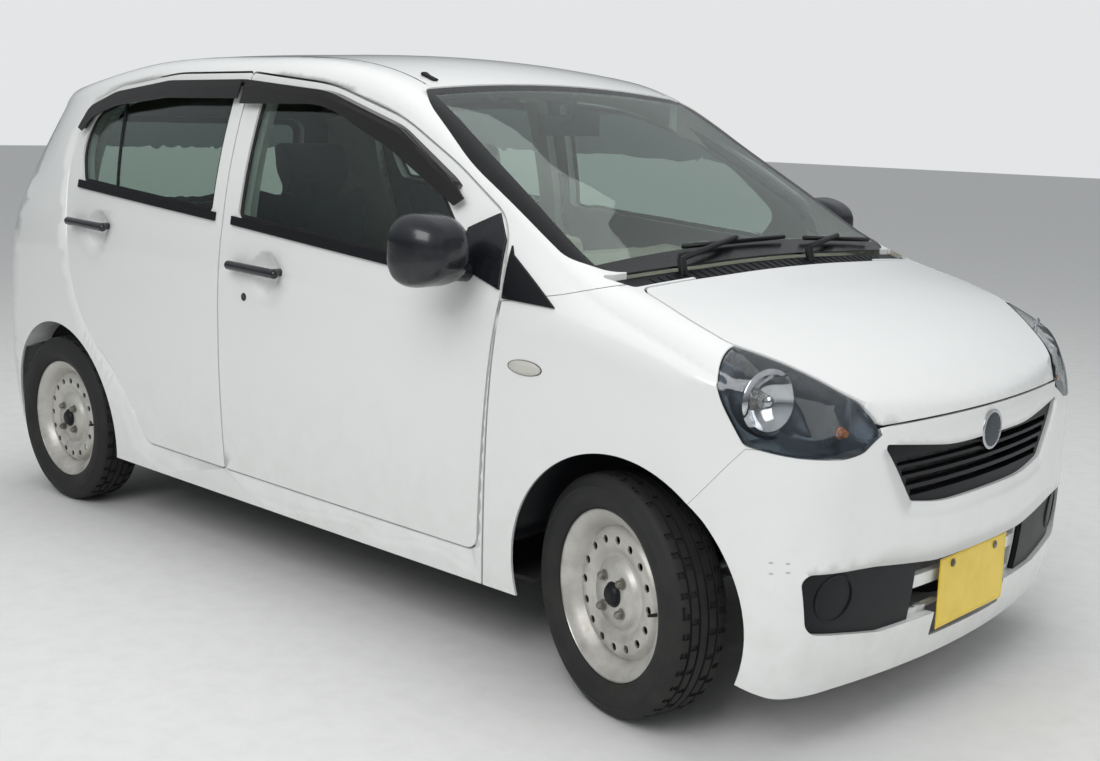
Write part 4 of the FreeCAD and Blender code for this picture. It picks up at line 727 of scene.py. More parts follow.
@dataclass
class Bodywork(Assembly):
    """Painted panels, with the small things that sit on their skin."""

    keyhole: tuple[float, float] = (-178.0, 809.0)
    side_lamp: tuple[float, float, float] = (860.0, 964.0, 763.0)
    side_lamp_rise: float = 17.0
    aerial: tuple[float, float] = (262.0, -452.0)
    seam_ends: tuple[float, float] = (-1385.0, 300.0)
    seam_y: float = 498.0
    seam_steps: int = 40
    step_half: float = 442.0
    step_top: float = 598.5
    step_sunk: float = 3.0
    step_columns: int = 24
    skin_heights: tuple[float, float] = (535.0, 612.0)

    def panels(self) -> None:
        """Dresses the fixed and moving panels, enamelled outside and trimmed within."""
        for word, side in SIDES:
            cabin = cabin_side(side)
            self.dress("bodyside_" + word, WHITE_ENAMEL, "white_paint", inner=PILLAR_TRIM, inwards=cabin)
            self.dress("front_fender_" + word, WHITE_ENAMEL, "white_paint")
            for end in ENDS:
                door = f"{end}_door_{word}"
                self.dress(door, WHITE_ENAMEL, "white_paint", door, inner=TRIM_GRAIN, inwards=cabin)
        self.dress("roof_panel", WHITE_ENAMEL, "white_paint", inner=HEADLINER,
                   inwards=lambda face: face.normal.z < -0.5)
        self.dress("front_bumper", SCUFFED_ENAMEL, "white_paint")
        self.dress("rear_bumper", WHITE_ENAMEL, "white_paint")
        self.dress("bonnet", WHITE_ENAMEL, "white_paint", "bonnet", inner=WHITE_PRIMER,
                   inwards=lambda face: face.normal.z < -0.3)
        self.dress("tailgate", WHITE_ENAMEL, "white_paint", "tailgate", inner=TRIM_GRAIN,
                   inwards=lambda face: face.normal.x > 0.5)

    def keyholes(self) -> None:
        """Adds the front doors' lock barrels: a dark ring round a plated slot."""
        for word, side in SIDES:
            node = "front_door_" + word
            spot = from_side(node, side, *self.keyhole)
            ring = spun(((0, 1.2), (7.2, 1.2), (8.0, 2.0), (10.6, 1.8), (11.4, 0.6), (11.4, -0.6),
                         (0, -0.6)), 32)
            slot = block((-1.2, -5.0, 1.0), (1.2, 5.0, 1.9), 0.3, 1)
            self.add(moved(ring, spot), "lock_barrel_" + word, DARK_ABS, "black_plastic", node)
            self.add(moved(slot, spot), "lock_slot_" + word, ZINC_STEEL, "black_plastic", node)

    def side_lamps(self) -> None:
        """Adds the pearl side turn lamps on the front fenders: an oval lens on a dark base."""
        start, end, z = self.side_lamp
        half = (end - start) / 2
        oval = Matrix.Diagonal((1.0, self.side_lamp_rise / half, 1.0, 1.0))
        for word, side in SIDES:
            spot = from_side("front_fender_" + word, side, start + half, z) @ oval
            dome = spun(((0, 8.0), (half * 0.5, 7.2), (half * 0.82, 4.6), (half * 0.97, 1.8),
                         (half, -1.5)), 48)
            self.add(moved(dome, spot), "side_turn_lamp_" + word, PALE_LENS, "lens_clear")
            base = spun(((half + 2.2, -1.5), (half + 2.2, 0.8), (half + 1.0, 1.6), (half, 1.0),
                         (half, -1.5)), 48, True)
            self.add(moved(base, spot), "side_turn_lamp_base_" + word, BLACK_MOULDED, "black_plastic")

    def roof_details(self) -> None:
        """Adds the aerial's foot and the black sealing strips along the roof's two seams."""
        x, y = self.aerial
        foot = block((-27, -11, -1), (27, 11, 9), 5, 4)
        for vert in foot.verts:
            # Its front half narrows and slopes down
            if vert.co.z > 4 * MM and vert.co.x > 0:
                vert.co.z -= vert.co.x * 0.28
                vert.co.y *= 0.6
        spot = facing(*from_above("roof_panel", x * MM, y * MM), (0, 1, 0))
        self.add(moved(foot, spot), "aerial_foot", BLACK_MOULDED, "black_plastic")
        start, end = self.seam_ends
        for word, side in SIDES:
            rows = []
            for step in range(self.seam_steps + 1):
                along = start + (end - start) * step / self.seam_steps
                place, _ = from_above("roof_panel", along * MM, side * (self.seam_y - 2.5) * MM)
                rows.append([Vector((place.x, side * (self.seam_y + reach) * MM, place.z + rise * MM))
                             for reach, rise in ((-4.0, -0.6), (-1.8, 0.4), (1.8, 0.0), (4.0, -1.4))])
            self.add(sheet(rows, 1.2), "roof_seam_strip_" + word, SEAL_RUBBER, "rubber_black")

    def bumper_step(self) -> None:
        """Closes the space above the rear bumper with its painted top step, in line with both skins."""
        bumper_z, tailgate_z = (height * MM for height in self.skin_heights)
        rows = []
        for step in range(self.step_columns + 1):
            y = (2 * step / self.step_columns - 1) * self.step_half * MM
            low, _ = from_behind("rear_bumper", y, bumper_z)
            high, _ = from_behind("tailgate", y, tailgate_z)
            edge, _ = skin_hit("rear_bumper", (low.x + 4 * MM, y, 0.60), (0, 0, -1))
            lean = (high.x - low.x) / (high.z - low.z)
            row = []
            for share in (0.0, 0.5, 1.0):
                z = (edge.z + 0.8 * MM) * (1 - share) + self.step_top * MM * share
                sunk = self.step_sunk * MM * (1 + share ** 4)
                row.append(Vector((low.x + lean * (z - low.z) + sunk, y, z)))
            rows.append(row)
        self.add(sheet(rows, 3.0), "rear_bumper_step", WHITE_ENAMEL, "white_paint")

    def build(self) -> None:
        """Builds and dresses everything on the skin."""
        self.panels()
        self.keyholes()
        self.side_lamps()
        self.roof_details()
        self.bumper_step()


@dataclass
class Glazing(Assembly):
    """Panes with their enamelled borders and rubber gaskets."""

    gasket: float = 13.0
    tailgate_gasket: float = 24.0
    gasket_rise: float = 2.5
    frit_side: float = 46.0
    frit_top: float = 30.0
    frit_foot: float = 62.0
    pillar_head: tuple[float, float] = (390.0, 566.0)
    pillar_foot: tuple[float, float] = (960.0, 650.0)
    bar_foot: tuple[float, float] = (-905.0, 1078.0)
    bar_head: tuple[float, float] = (-965.0, 1330.0)
    bar_steps: int = 8

    def framed(self, node: str, body: str, towards: Vector, width: float) -> None:
        """Dresses a pane and lays a rubber gasket round its outer face.

        Args:
            node: the pane's CAD node.
            body: the body it rides on.
            towards: the direction out of the car.
            width: the gasket's width, in millimetres.
        """
        ring = merged(node)
        ring.normal_update()
        outer = [face for face in ring.faces if face.normal.dot(towards) > 0.45]
        border = set(bmesh.ops.inset_region(ring, faces=outer, thickness=width * MM, use_even_offset=True,
                                            use_boundary=True)["faces"])
        bmesh.ops.delete(ring, geom=[face for face in ring.faces if face not in border], context="FACES")
        raised = bmesh.ops.extrude_face_region(ring, geom=ring.faces[:])["geom"]
        verts = [item for item in raised if isinstance(item, BMVert)]
        bmesh.ops.translate(ring, verts=verts, vec=towards * self.gasket_rise * MM)
        self.add(turned_out(ring), node + "_gasket", SEAL_RUBBER, "rubber_black", body)
        self.dress(node, WINDOW_GLASS, "glass_clear", body, node + "_pane")

    def windscreen(self) -> None:
        """Dresses the windscreen with the black enamel border printed along its edges."""
        mesh = merged("windscreen")
        low, high = extent(mesh)
        limits = []
        for _, side in SIDES:
            head, foot = (Vector((x, side * (y - self.frit_side), 0.0)) * MM
                          for x, y in (self.pillar_head, self.pillar_foot))
            limits.append((head, (foot - head).cross(Vector((0, 0, -side))).normalized()))
        limits.append((Vector((low.x + self.frit_top * MM, 0, 0)), Vector((-1, 0, 0))))
        limits.append((Vector((high.x - self.frit_foot * MM, 0, 0)), Vector((1, 0, 0))))
        for place, normal in limits:
            sliced(mesh, place, normal)
        for face in mesh.faces:
            middle = face.calc_center_median()
            face.material_index = int(any((middle - place).dot(normal) > 0 for place, normal in limits))
        self.add(mesh, "windscreen_pane", WINDOW_GLASS, "glass_clear", replaces=("windscreen",),
                 second=BLACK_ENAMEL)

    def divider(self) -> None:
        """Adds the black bar that parts off the rear doors' small fixed pane."""
        for word, side in SIDES:
            points = []
            for step in range(self.bar_steps + 1):
                x, z = Vector(self.bar_foot).lerp(Vector(self.bar_head), step / self.bar_steps)
                points.append(from_side("rear_door_glass_" + word, side, x, z).translation)
            pieces = []
            for a, b in zip(points, points[1:]):
                length = (b - a).length / MM + 1.0
                piece = block((-7.5, -2.0, -1.0), (7.5, 3.0, length), 1.2, 2)
                pieces.append(moved(piece, facing(a, b - a, outward(side))))
            self.add(joined(pieces), "rear_window_bar_" + word, BLACK_MOULDED, "black_plastic",
                     "rear_door_" + word)

    def build(self) -> None:
        """Builds and dresses all the panes."""
        self.windscreen()
        for word, side in SIDES:
            for end in ENDS:
                self.framed(f"{end}_door_glass_{word}", f"{end}_door_{word}", outward(side), self.gasket)
        self.framed("tailgate_glass", "tailgate", Vector((-1, 0, 0)), self.tailgate_gasket)
        self.divider()


@dataclass
class DoorFittings(Assembly):
    """Mouldings, visors, pull handles and mirrors on the doors."""

    visor_from_z: float = 1090.0
    mirror_from_x: float = 500.0
    handle_below_z: float = 990.0
    mirror_face: tuple[float, float, float] = (645.0, 833.0, 1016.0)
    mirror_half: tuple[float, float] = (80.0, 70.0)

    def sort_out(self, mesh: BMesh) -> tuple[str, Finish]:
        """Tells what a solid among the fittings is.

        Args:
            mesh: the solid.

        Returns:
            Its name and finish.
        """
        low, high = extent(mesh)
        if low.z > self.visor_from_z * MM:
            return "visor", SMOKED_ACRYLIC
        if low.x > self.mirror_from_x * MM:
            return "mirror_housing", DARK_ABS
        if high.z < self.handle_below_z * MM:
            return "handle", DARK_ABS
        return "belt_moulding", BLACK_MOULDED

    def build(self) -> None:
        """Dresses each fitting, and gives the mirrors their glass."""
        for end in ENDS:
            for word, _ in SIDES:
                node, door = f"{end}_door_fittings_{word}", f"{end}_door_{word}"
                for mesh in islands(node):
                    kind, finish = self.sort_out(mesh)
                    self.add(mesh, f"{end}_{kind}_{word}", finish, "black_plastic", door, (node,))
        x, y, z = self.mirror_face
        for word, side in SIDES:
            glass = slab(*self.mirror_half, 2.4, 48, 0.9)
            spot = facing(Vector((x, side * y, z)) * MM, Vector((-1, 0, 0)))
            self.add(moved(glass, spot), "mirror_glass_" + word, MIRROR_GLASS, "black_plastic",
                     "front_door_" + word)


@dataclass
class RoadWheel(Assembly):
    """A pressed steel wheel with its nuts, cap, valve and tyre."""

    end: str = "front"
    word: str = "right"
    tyre_radius: float = 277.5
    half_width: float = 77.5
    bead: float = 178.6
    groove: float = 6.5
    steps: int = 120
    stud_circle: float = 100.0
    hub_face: float = 42.0
    parked_steer: float = -15.0

    def __post_init__(self) -> None:
        """Names the wheel, and the body that it turns with."""
        self.tag = f"{self.end}_{self.word}"
        self.body = f"{self.end}_wheel_{self.word}"

    def place(self) -> Matrix:
        """Finds the wheel's frame from its tyre in the CAD, steered as the car is parked.

        Returns:
            Its middle, with Z out of the car along the axle.
        """
        mesh = merged("tyre_" + self.tag)
        middle = centre_of(mesh)
        mesh.free()
        steer = math.radians(self.parked_steer if self.end == "front" else 0.0)
        side = dict(SIDES)[self.word]
        return facing(middle, Vector((-math.sin(steer) * side, math.cos(steer) * side, 0.0)))

    def tyre(self, here: Matrix) -> None:
        """Turns the tyre: bead, side wall with its ribs, shoulder, and a tread with grooves.

        Args:
            here: the wheel's frame.
        """
        b, r, w, deep = self.bead, self.tyre_radius, self.half_width, self.groove
        half = [(b, 42.5), (b + 9, 46.5), (b + 17.5, 52.5), (b + 19.5, 60.0), (b + 25.0, 66.0),
                (b + 28.0, 67.4), (b + 30.0, 70.2), (b + 44.0, w - 1.2), (b + 54.0, w), (b + 66.0, w - 1.8),
                (b + 68.5, w - 0.6), (b + 71.0, w - 3.2), (r - 14.0, w - 9.0), (r - 6.0, w - 15.0),
                (r - 2.4, w - 21.0), (r - 0.9, w - 29.0)]
        for start, end in ((38.0, 31.5), (14.5, 8.0)):
            half += [(r - 0.4, start), (r - deep, start - 1.0), (r - deep, end + 1.0), (r - 0.2, end)]
        mesh = spun(half + [(radius, -reach) for radius, reach in reversed(half)], self.steps, True)
        sipes = []
        for face in mesh.faces:
            middle = face.calc_center_median()
            radius = math.hypot(middle.x, middle.y) / MM
            turn = round(math.atan2(middle.y, middle.x) / (2 * math.pi) * self.steps)
            reach = abs(middle.z) / MM
            shoulder = radius > r - 3.5 and reach > 40 and turn % 3 == 0
            rib = radius > r - 2.0 and 15 < reach < 31 and (turn + (2 if middle.z > 0 else 0)) % 4 == 0
            if shoulder or rib:
                sipes.append(face)
        bmesh.ops.inset_individual(mesh, faces=sipes, thickness=0.6 * MM, depth=0.0)
        for face in bmesh.ops.extrude_discrete_faces(mesh, faces=sipes)["faces"]:
            for vert in face.verts:
                vert.co -= Vector((vert.co.x, vert.co.y, 0.0)).normalized() * 4.5 * MM
        self.add(moved(turned_out(mesh), here), f"tyre_{self.tag}_tread", TYRE_RUBBER, "tyre_rubber",
                 replaces=("tyre_" + self.tag,))

    def metalwork(self, here: Matrix) -> None:
        """Adds the disc's nuts, the middle cap, the valve and the bright worn rim edge.

        Args:
            here: the wheel's frame.
        """
        hub = here @ Matrix.Translation((0, 0, self.hub_face * MM))
        nuts = []
        for number in range(4):
            angle = math.pi / 2 * number + math.pi / 4
            stud = Vector((math.cos(angle), math.sin(angle), 0)) * self.stud_circle / 2 * MM
            nut = bmesh.new()
            bmesh.ops.create_cone(nut, cap_ends=True, segments=6, radius1=10.8 * MM, radius2=10.4 * MM,
                                  depth=13 * MM, matrix=Matrix.Translation((0, 0, 6.6 * MM)))
            round_edges(nut, nut.edges[:], 0.7 * MM, 2)
            dome = spun(((0, 19), (4.5, 18.2), (7.4, 15.6), (8.4, 12), (8.4, 8)), 24)
            washer = spun(((13.5, 0), (13.5, 1.2), (12, 2), (7, 2), (7, 0)), 32, True)
            nuts += [moved(piece, Matrix.Translation(stud)) for piece in (nut, dome, washer)]
        self.add(moved(joined(nuts), hub), "wheel_nuts_" + self.tag, ZINC_STEEL, "wheel_paint")
        cap = spun(((0, 15.5), (10, 15.2), (18, 13.4), (23, 9.5), (25.4, 3), (29.0, 1.6), (29.4, 0.2),
                    (26.6, -0.6)), 48)
        self.add(moved(cap, hub), "hub_cap_" + self.tag, BLACK_MOULDED, "black_plastic")
        stem = bar((157, 0, 14), (151, 0, 46), 4.6, 4.0, 16)
        valve = joined([stem, bar((151, 0, 45), (149.4, 0, 54), 3.6, 3.4, 12)])
        self.add(moved(valve, here), "tyre_valve_" + self.tag, SEAL_RUBBER, "rubber_black")
        lip = spun(((195.0, 58.0), (195.3, 56.0), (194.6, 54.4), (192.4, 55.2), (192.2, 57.0),
                    (193.4, 58.3)), 96, True)
        self.add(moved(lip, here), "rim_edge_" + self.tag, WORN_EDGE, "wheel_paint")

    def build(self) -> None:
        """Builds and dresses one wheel."""
        here = self.place()
        self.tyre(here)
        self.dress("wheel_" + self.tag, WHEEL_ENAMEL, "wheel_paint")
        self.metalwork(here)


@dataclass
class Lamps(Assembly):
    """Headlamps with their reflectors and bulbs, and the rear lamps' coloured lenses."""

    main_lens: tuple[float, float, float] = (1531.0, 655.0, 776.0)
    main_sink: float = 36.0
    turn_lens: tuple[float, float, float] = (1630.0, 512.0, 708.0)
    turn_sink: float = 34.0
    dish_radius: float = 60.0
    dish_depth: float = 26.0
    bands: tuple[float, float] = (0.34, 0.56)

    def behind_lens(self, place: Sequence[float], side: float, sink: float) -> Vector:
        """Finds the point a set depth behind a headlamp's lens.

        Args:
            place: about where on the left lens, in millimetres.
            side: -1 for the right lamp, 1 for the left.
            sink: how far behind the lens, in millimetres.

        Returns:
            The point, in metres.
        """
        x, y, z = place
        away = Vector((0.72, side * 0.62, 0.31))
        start = Vector((x, side * y, z)) * MM + away * 0.4
        spot, normal = skin_hit("headlamp_lenses", start, -away)
        return spot - normal * sink * MM

    def headlamps(self) -> None:
        """Dresses lenses and bowls, and sets a round reflector with its bulb behind each lens."""
        for name, finish, slot in (("headlamp_lenses", CLEAR_POLYCARBONATE, "lens_clear"),
                                   ("headlamp_bowls", GREY_BEZEL, "chrome_bowl")):
            for mesh, (word, _) in zip(islands(name), SIDES):
                self.add(mesh, f"{name[:-1]}_{word}", finish, slot, replaces=(name,))
        r, d = self.dish_radius, self.dish_depth
        for word, side in SIDES:
            aim = Vector((0.94, side * 0.27, 0.04)).normalized()
            base = facing(self.behind_lens(self.main_lens, side, self.main_sink) - aim * d * MM, aim)
            dish = spun(((14, 1.5), (24, 3.0), (0.6 * r, 0.28 * d), (0.82 * r, 0.6 * d), (r - 1.5, d),
                         (r, d + 1.2), (r + 9, d - 3), (r + 10, d - 4.5), (r + 1, d - 1.5),
                         (0.84 * r, 0.55 * d), (0.62 * r, 0.22 * d), (24, 1.2), (14, 0.0)), 72, True)
            self.add(moved(dish, base), "headlamp_reflector_" + word, METALLISED, "chrome_bowl")
            hood = spun(((14, 1.2), (14, 16), (12.5, 21), (9, 23.5), (0, 24.5)), 32)
            self.add(moved(hood, base), "headlamp_bulb_hood_" + word, CHROME, "chrome_bowl")
            bulb = spun(((15.4, 3), (15.4, 13), (14.4, 15), (13.2, 15)), 32)
            self.add(moved(bulb, base), "headlamp_bulb_" + word, BULB_GLASS, "lens_clear")
            amber = spun(((13, 0), (13, 3), (9.5, 4), (9.5, 14), (7, 19), (0, 21)), 32)
            amber_at = facing(self.behind_lens(self.turn_lens, side, self.turn_sink), aim)
            self.add(moved(amber, amber_at), "turn_bulb_" + word, AMBER_ACRYLIC, "lens_clear")

    def tail_lamps(self) -> None:
        """Parts each rear lamp into its red, amber and pale lenses."""
        for mesh, (word, _) in zip(islands("tail_lamps"), SIDES):
            foot, head = (corner.z for corner in extent(mesh))
            low, high = (foot + share * (head - foot) for share in self.bands)
            for level in (low, high):
                sliced(mesh, (0, 0, level), (0, 0, 1))
            lenses = ((foot, low, PALE_LENS, "reverse"), (low, high, AMBER_ACRYLIC, "turn"),
                      (high, head, RED_ACRYLIC, "stop"))
            for start, end, finish, kind in lenses:
                part = mesh.copy()
                others = [face for face in part.faces if not start <= face.calc_center_median().z <= end]
                bmesh.ops.delete(part, geom=others, context="FACES")
                self.add(part, f"{kind}_lens_{word}", finish, "lens_red", replaces=("tail_lamps",))
            mesh.free()

    def build(self) -> None:
        """Builds and dresses all the lamps."""
        self.headlamps()
        self.tail_lamps()


@dataclass
class Nose(Assembly):
    """Grille, corner blanks, badge and the two blank number plates."""

    badge_z: float = 651.0
    band_z: float = 668.0
    badge_proud: float = 0.6
    badge_radius: float = 47.0
    recess: tuple[float, float, float] = (1637.5, 533.0, 352.0)
    recess_radius: float = 47.5
    plate_half: tuple[float, float] = (163.0, 80.5)
    plate_bolts: tuple[float, float] = (210.0, 63.5)

    def inserts(self) -> None:
        """Dresses the grille, the corner blanks and the plate's bracket."""
        for number, mesh in enumerate(islands("nose_inserts")):
            self.add(mesh, "nose_insert_%d" % number, BLACK_MOULDED, "black_plastic",
                     replaces=("nose_inserts",))

    def recess_rims(self) -> None:
        """Rounds the mouth of each corner blank's fog lamp recess with a moulded rim."""
        x, y, z = self.recess
        r = self.recess_radius
        for word, side in SIDES:
            ahead = Vector((0.909, side * 0.417, 0.0))
            across = Vector((-0.417, side * 0.909, 0.0))
            middle = Vector((x, side * y, z)) * MM
            reach = (r + 5.0) * MM
            # Four points round the mouth tell how its face leans
            starts = (middle + ahead * 0.3 + offset * reach for offset in (UP, -UP, across, -across))
            above, below, outer, inner = (skin_hit("nose_inserts", start, -ahead)[0] for start in starts)
            tilt = (above - below).cross(outer - inner).normalized()
            if tilt.dot(ahead) < 0:
                tilt = -tilt
            rim = spun(((r, -4), (r, 1.5), (r + 2, 3.2), (r + 5, 3.2), (r + 7.5, 1), (r + 8, -4)), 64, True)
            spot = facing((above + below + outer + inner) / 4, tilt)
            self.add(moved(rim, spot), "fog_recess_rim_" + word, BLACK_MOULDED, "black_plastic")

    def badge(self) -> None:
        """Adds a plain round badge: a plated ring with a domed disc."""
        band, _ = skin_hit("front_bumper", (BEYOND, 0, self.band_z * MM), (-1, 0, 0))
        here = facing(Vector((band.x + self.badge_proud * MM, 0, self.badge_z * MM)), Vector((1, 0, 0)))
        r = self.badge_radius
        ring = spun(((r, -4.0), (r, 0.8), (r - 1.5, 2.2), (r - 4.5, 2.6), (r - 7.5, 2.1),
                     (r - 7.5, -4.0)), 72, True)
        self.add(moved(ring, here), "front_badge_ring", CHROME, "chrome_bowl")
        disc = spun(((0, 2.3), (r * 0.4, 2.2), (r * 0.7, 2.0), (r - 7.0, 1.5), (r - 7.0, -4.0)), 64)
        self.add(moved(disc, here), "front_badge_disc", GREY_BEZEL, "chrome_bowl")

    def plates(self) -> None:
        """Dresses the blank plates with a raised rim and two plated bolts each."""
        apart, lift = self.plate_bolts
        for word, body, way in (("front", "body", 1.0), ("rear", "tailgate", -1.0)):
            node = word + "_plate"
            low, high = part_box(node)
            face_x = high[0] if way > 0 else low[0]
            here = facing(Vector((face_x, 0, (low[2] + high[2]) / 2)), Vector((way, 0, 0)))
            self.dress(node, PLATE_ENAMEL, "plate_yellow", body)
            pressing = slab(*self.plate_half, 1.3, 9.0, 0.9)
            top = [face for face in pressing.faces if face.normal.z > 0.99]
            bmesh.ops.inset_region(pressing, faces=top, thickness=4.5 * MM, use_even_offset=True)
            bmesh.ops.inset_region(pressing, faces=top, thickness=1.2 * MM, depth=-0.9 * MM,
                                   use_even_offset=True)
            self.add(moved(pressing, here), node + "_pressing", PLATE_ENAMEL, "plate_yellow", body)
            bolts = []
            for across in (-apart / 2, apart / 2):
                head = spun(((0, 4.6), (3.5, 4.4), (6.4, 3.2), (7.2, 1.2), (9.6, 1.0), (9.9, 0.2),
                             (9.9, -0.2)), 32)
                bolts.append(moved(head, Matrix.Translation(Vector((across, lift, 1.3)) * MM)))
            self.add(moved(joined(bolts), here), node + "_bolts", ZINC_STEEL, "chrome_bowl", body)

    def build(self) -> None:
        """Builds and dresses the nose's small parts."""
        self.inserts()
        self.recess_rims()
        self.badge()
        self.plates()


@dataclass
class Cowl(Assembly):
    """The cowl under the windscreen with its air slots, the sails, and the wipers."""

    ribs: int = 34
    rib_x: float = 1092.0
    rib_span: float = 500.0
    pivots: tuple[tuple[float, float], ...] = ((1080.0, -380.0), (1088.0, 150.0))

    def build(self) -> None:
        """Dresses cowl and wipers, and adds the cowl's raised ribs and the wipers' caps."""
        for number, mesh in enumerate(islands("cowl_and_sails")):
            self.add(mesh, "cowl_part_%d" % number, BLACK_MOULDED, "black_plastic",
                     replaces=("cowl_and_sails",))
        ribs = []
        for step in range(self.ribs):
            y = (2 * step / (self.ribs - 1) - 1) * self.rib_span * MM
            rib = block((-2.2, -19, -0.8), (2.2, 19, 2.2), 1.0, 2)
            ribs.append(moved(rib, facing(*from_above("cowl_and_sails", self.rib_x * MM, y), (1, 0, 0))))
        self.add(joined(ribs), "cowl_ribs", BLACK_MOULDED, "black_plastic")
        for number, mesh in enumerate(islands("wipers")):
            self.add(mesh, "wiper_%d" % number, SATIN_BLACK_STEEL, "black_plastic", replaces=("wipers",))
        for number, (x, y) in enumerate(self.pivots):
            place, _ = from_above("wipers", x * MM, y * MM)
            cap = spun(((0, 7.5), (7, 7.2), (11.5, 5.0), (13.5, 0.0), (13.5, -8.0), (10, -9.0)), 32)
            self.add(moved(cap, facing(place, UP)), "wiper_cap_%d" % number, BLACK_MOULDED,
                     "black_plastic")


@dataclass
class RearWiper(Assembly):
    """The tailgate's wiper and pull."""

    body: str = "tailgate"
    pivot: tuple[float, float] = (-20.0, 925.0)
    # How far ahead of the pivot the arm's ends and bend lie, with their Y and Z
    arm: tuple[tuple[float, float, float], ...] = ((-18.0, -20.0, 935.0), (2.0, 120.0, 985.0),
                                                   (2.0, 300.0, 1020.0))
    pull_z: float = 862.0

    def build(self) -> None:
        """Builds the wiper, lying across the foot of the rear window, and the release bar above the plate."""
        y, z = self.pivot
        pivot, normal = from_behind("tailgate", y * MM, z * MM)
        base = spun(((0, 22), (9, 21.5), (14, 18), (16, 10), (18, 0), (18, -2)), 32)
        moved(base, facing(pivot, normal))
        root, bend, tip = ((pivot.x / MM + ahead, y, z) for ahead, y, z in self.arm)
        wiper = joined([base, bar(root, bend, 6.5, 5.0), bar(bend, tip, 5.0, 4.0)])
        self.add(wiper, "rear_wiper", SATIN_BLACK_STEEL, "black_plastic")
        pull = block((-62, -9, -2), (62, 9, 12), 4.5, 4)
        spot = facing(*from_behind("tailgate", 0.0, self.pull_z * MM))
        self.add(moved(pull, spot), "tailgate_pull", BLACK_MOULDED, "black_plastic")


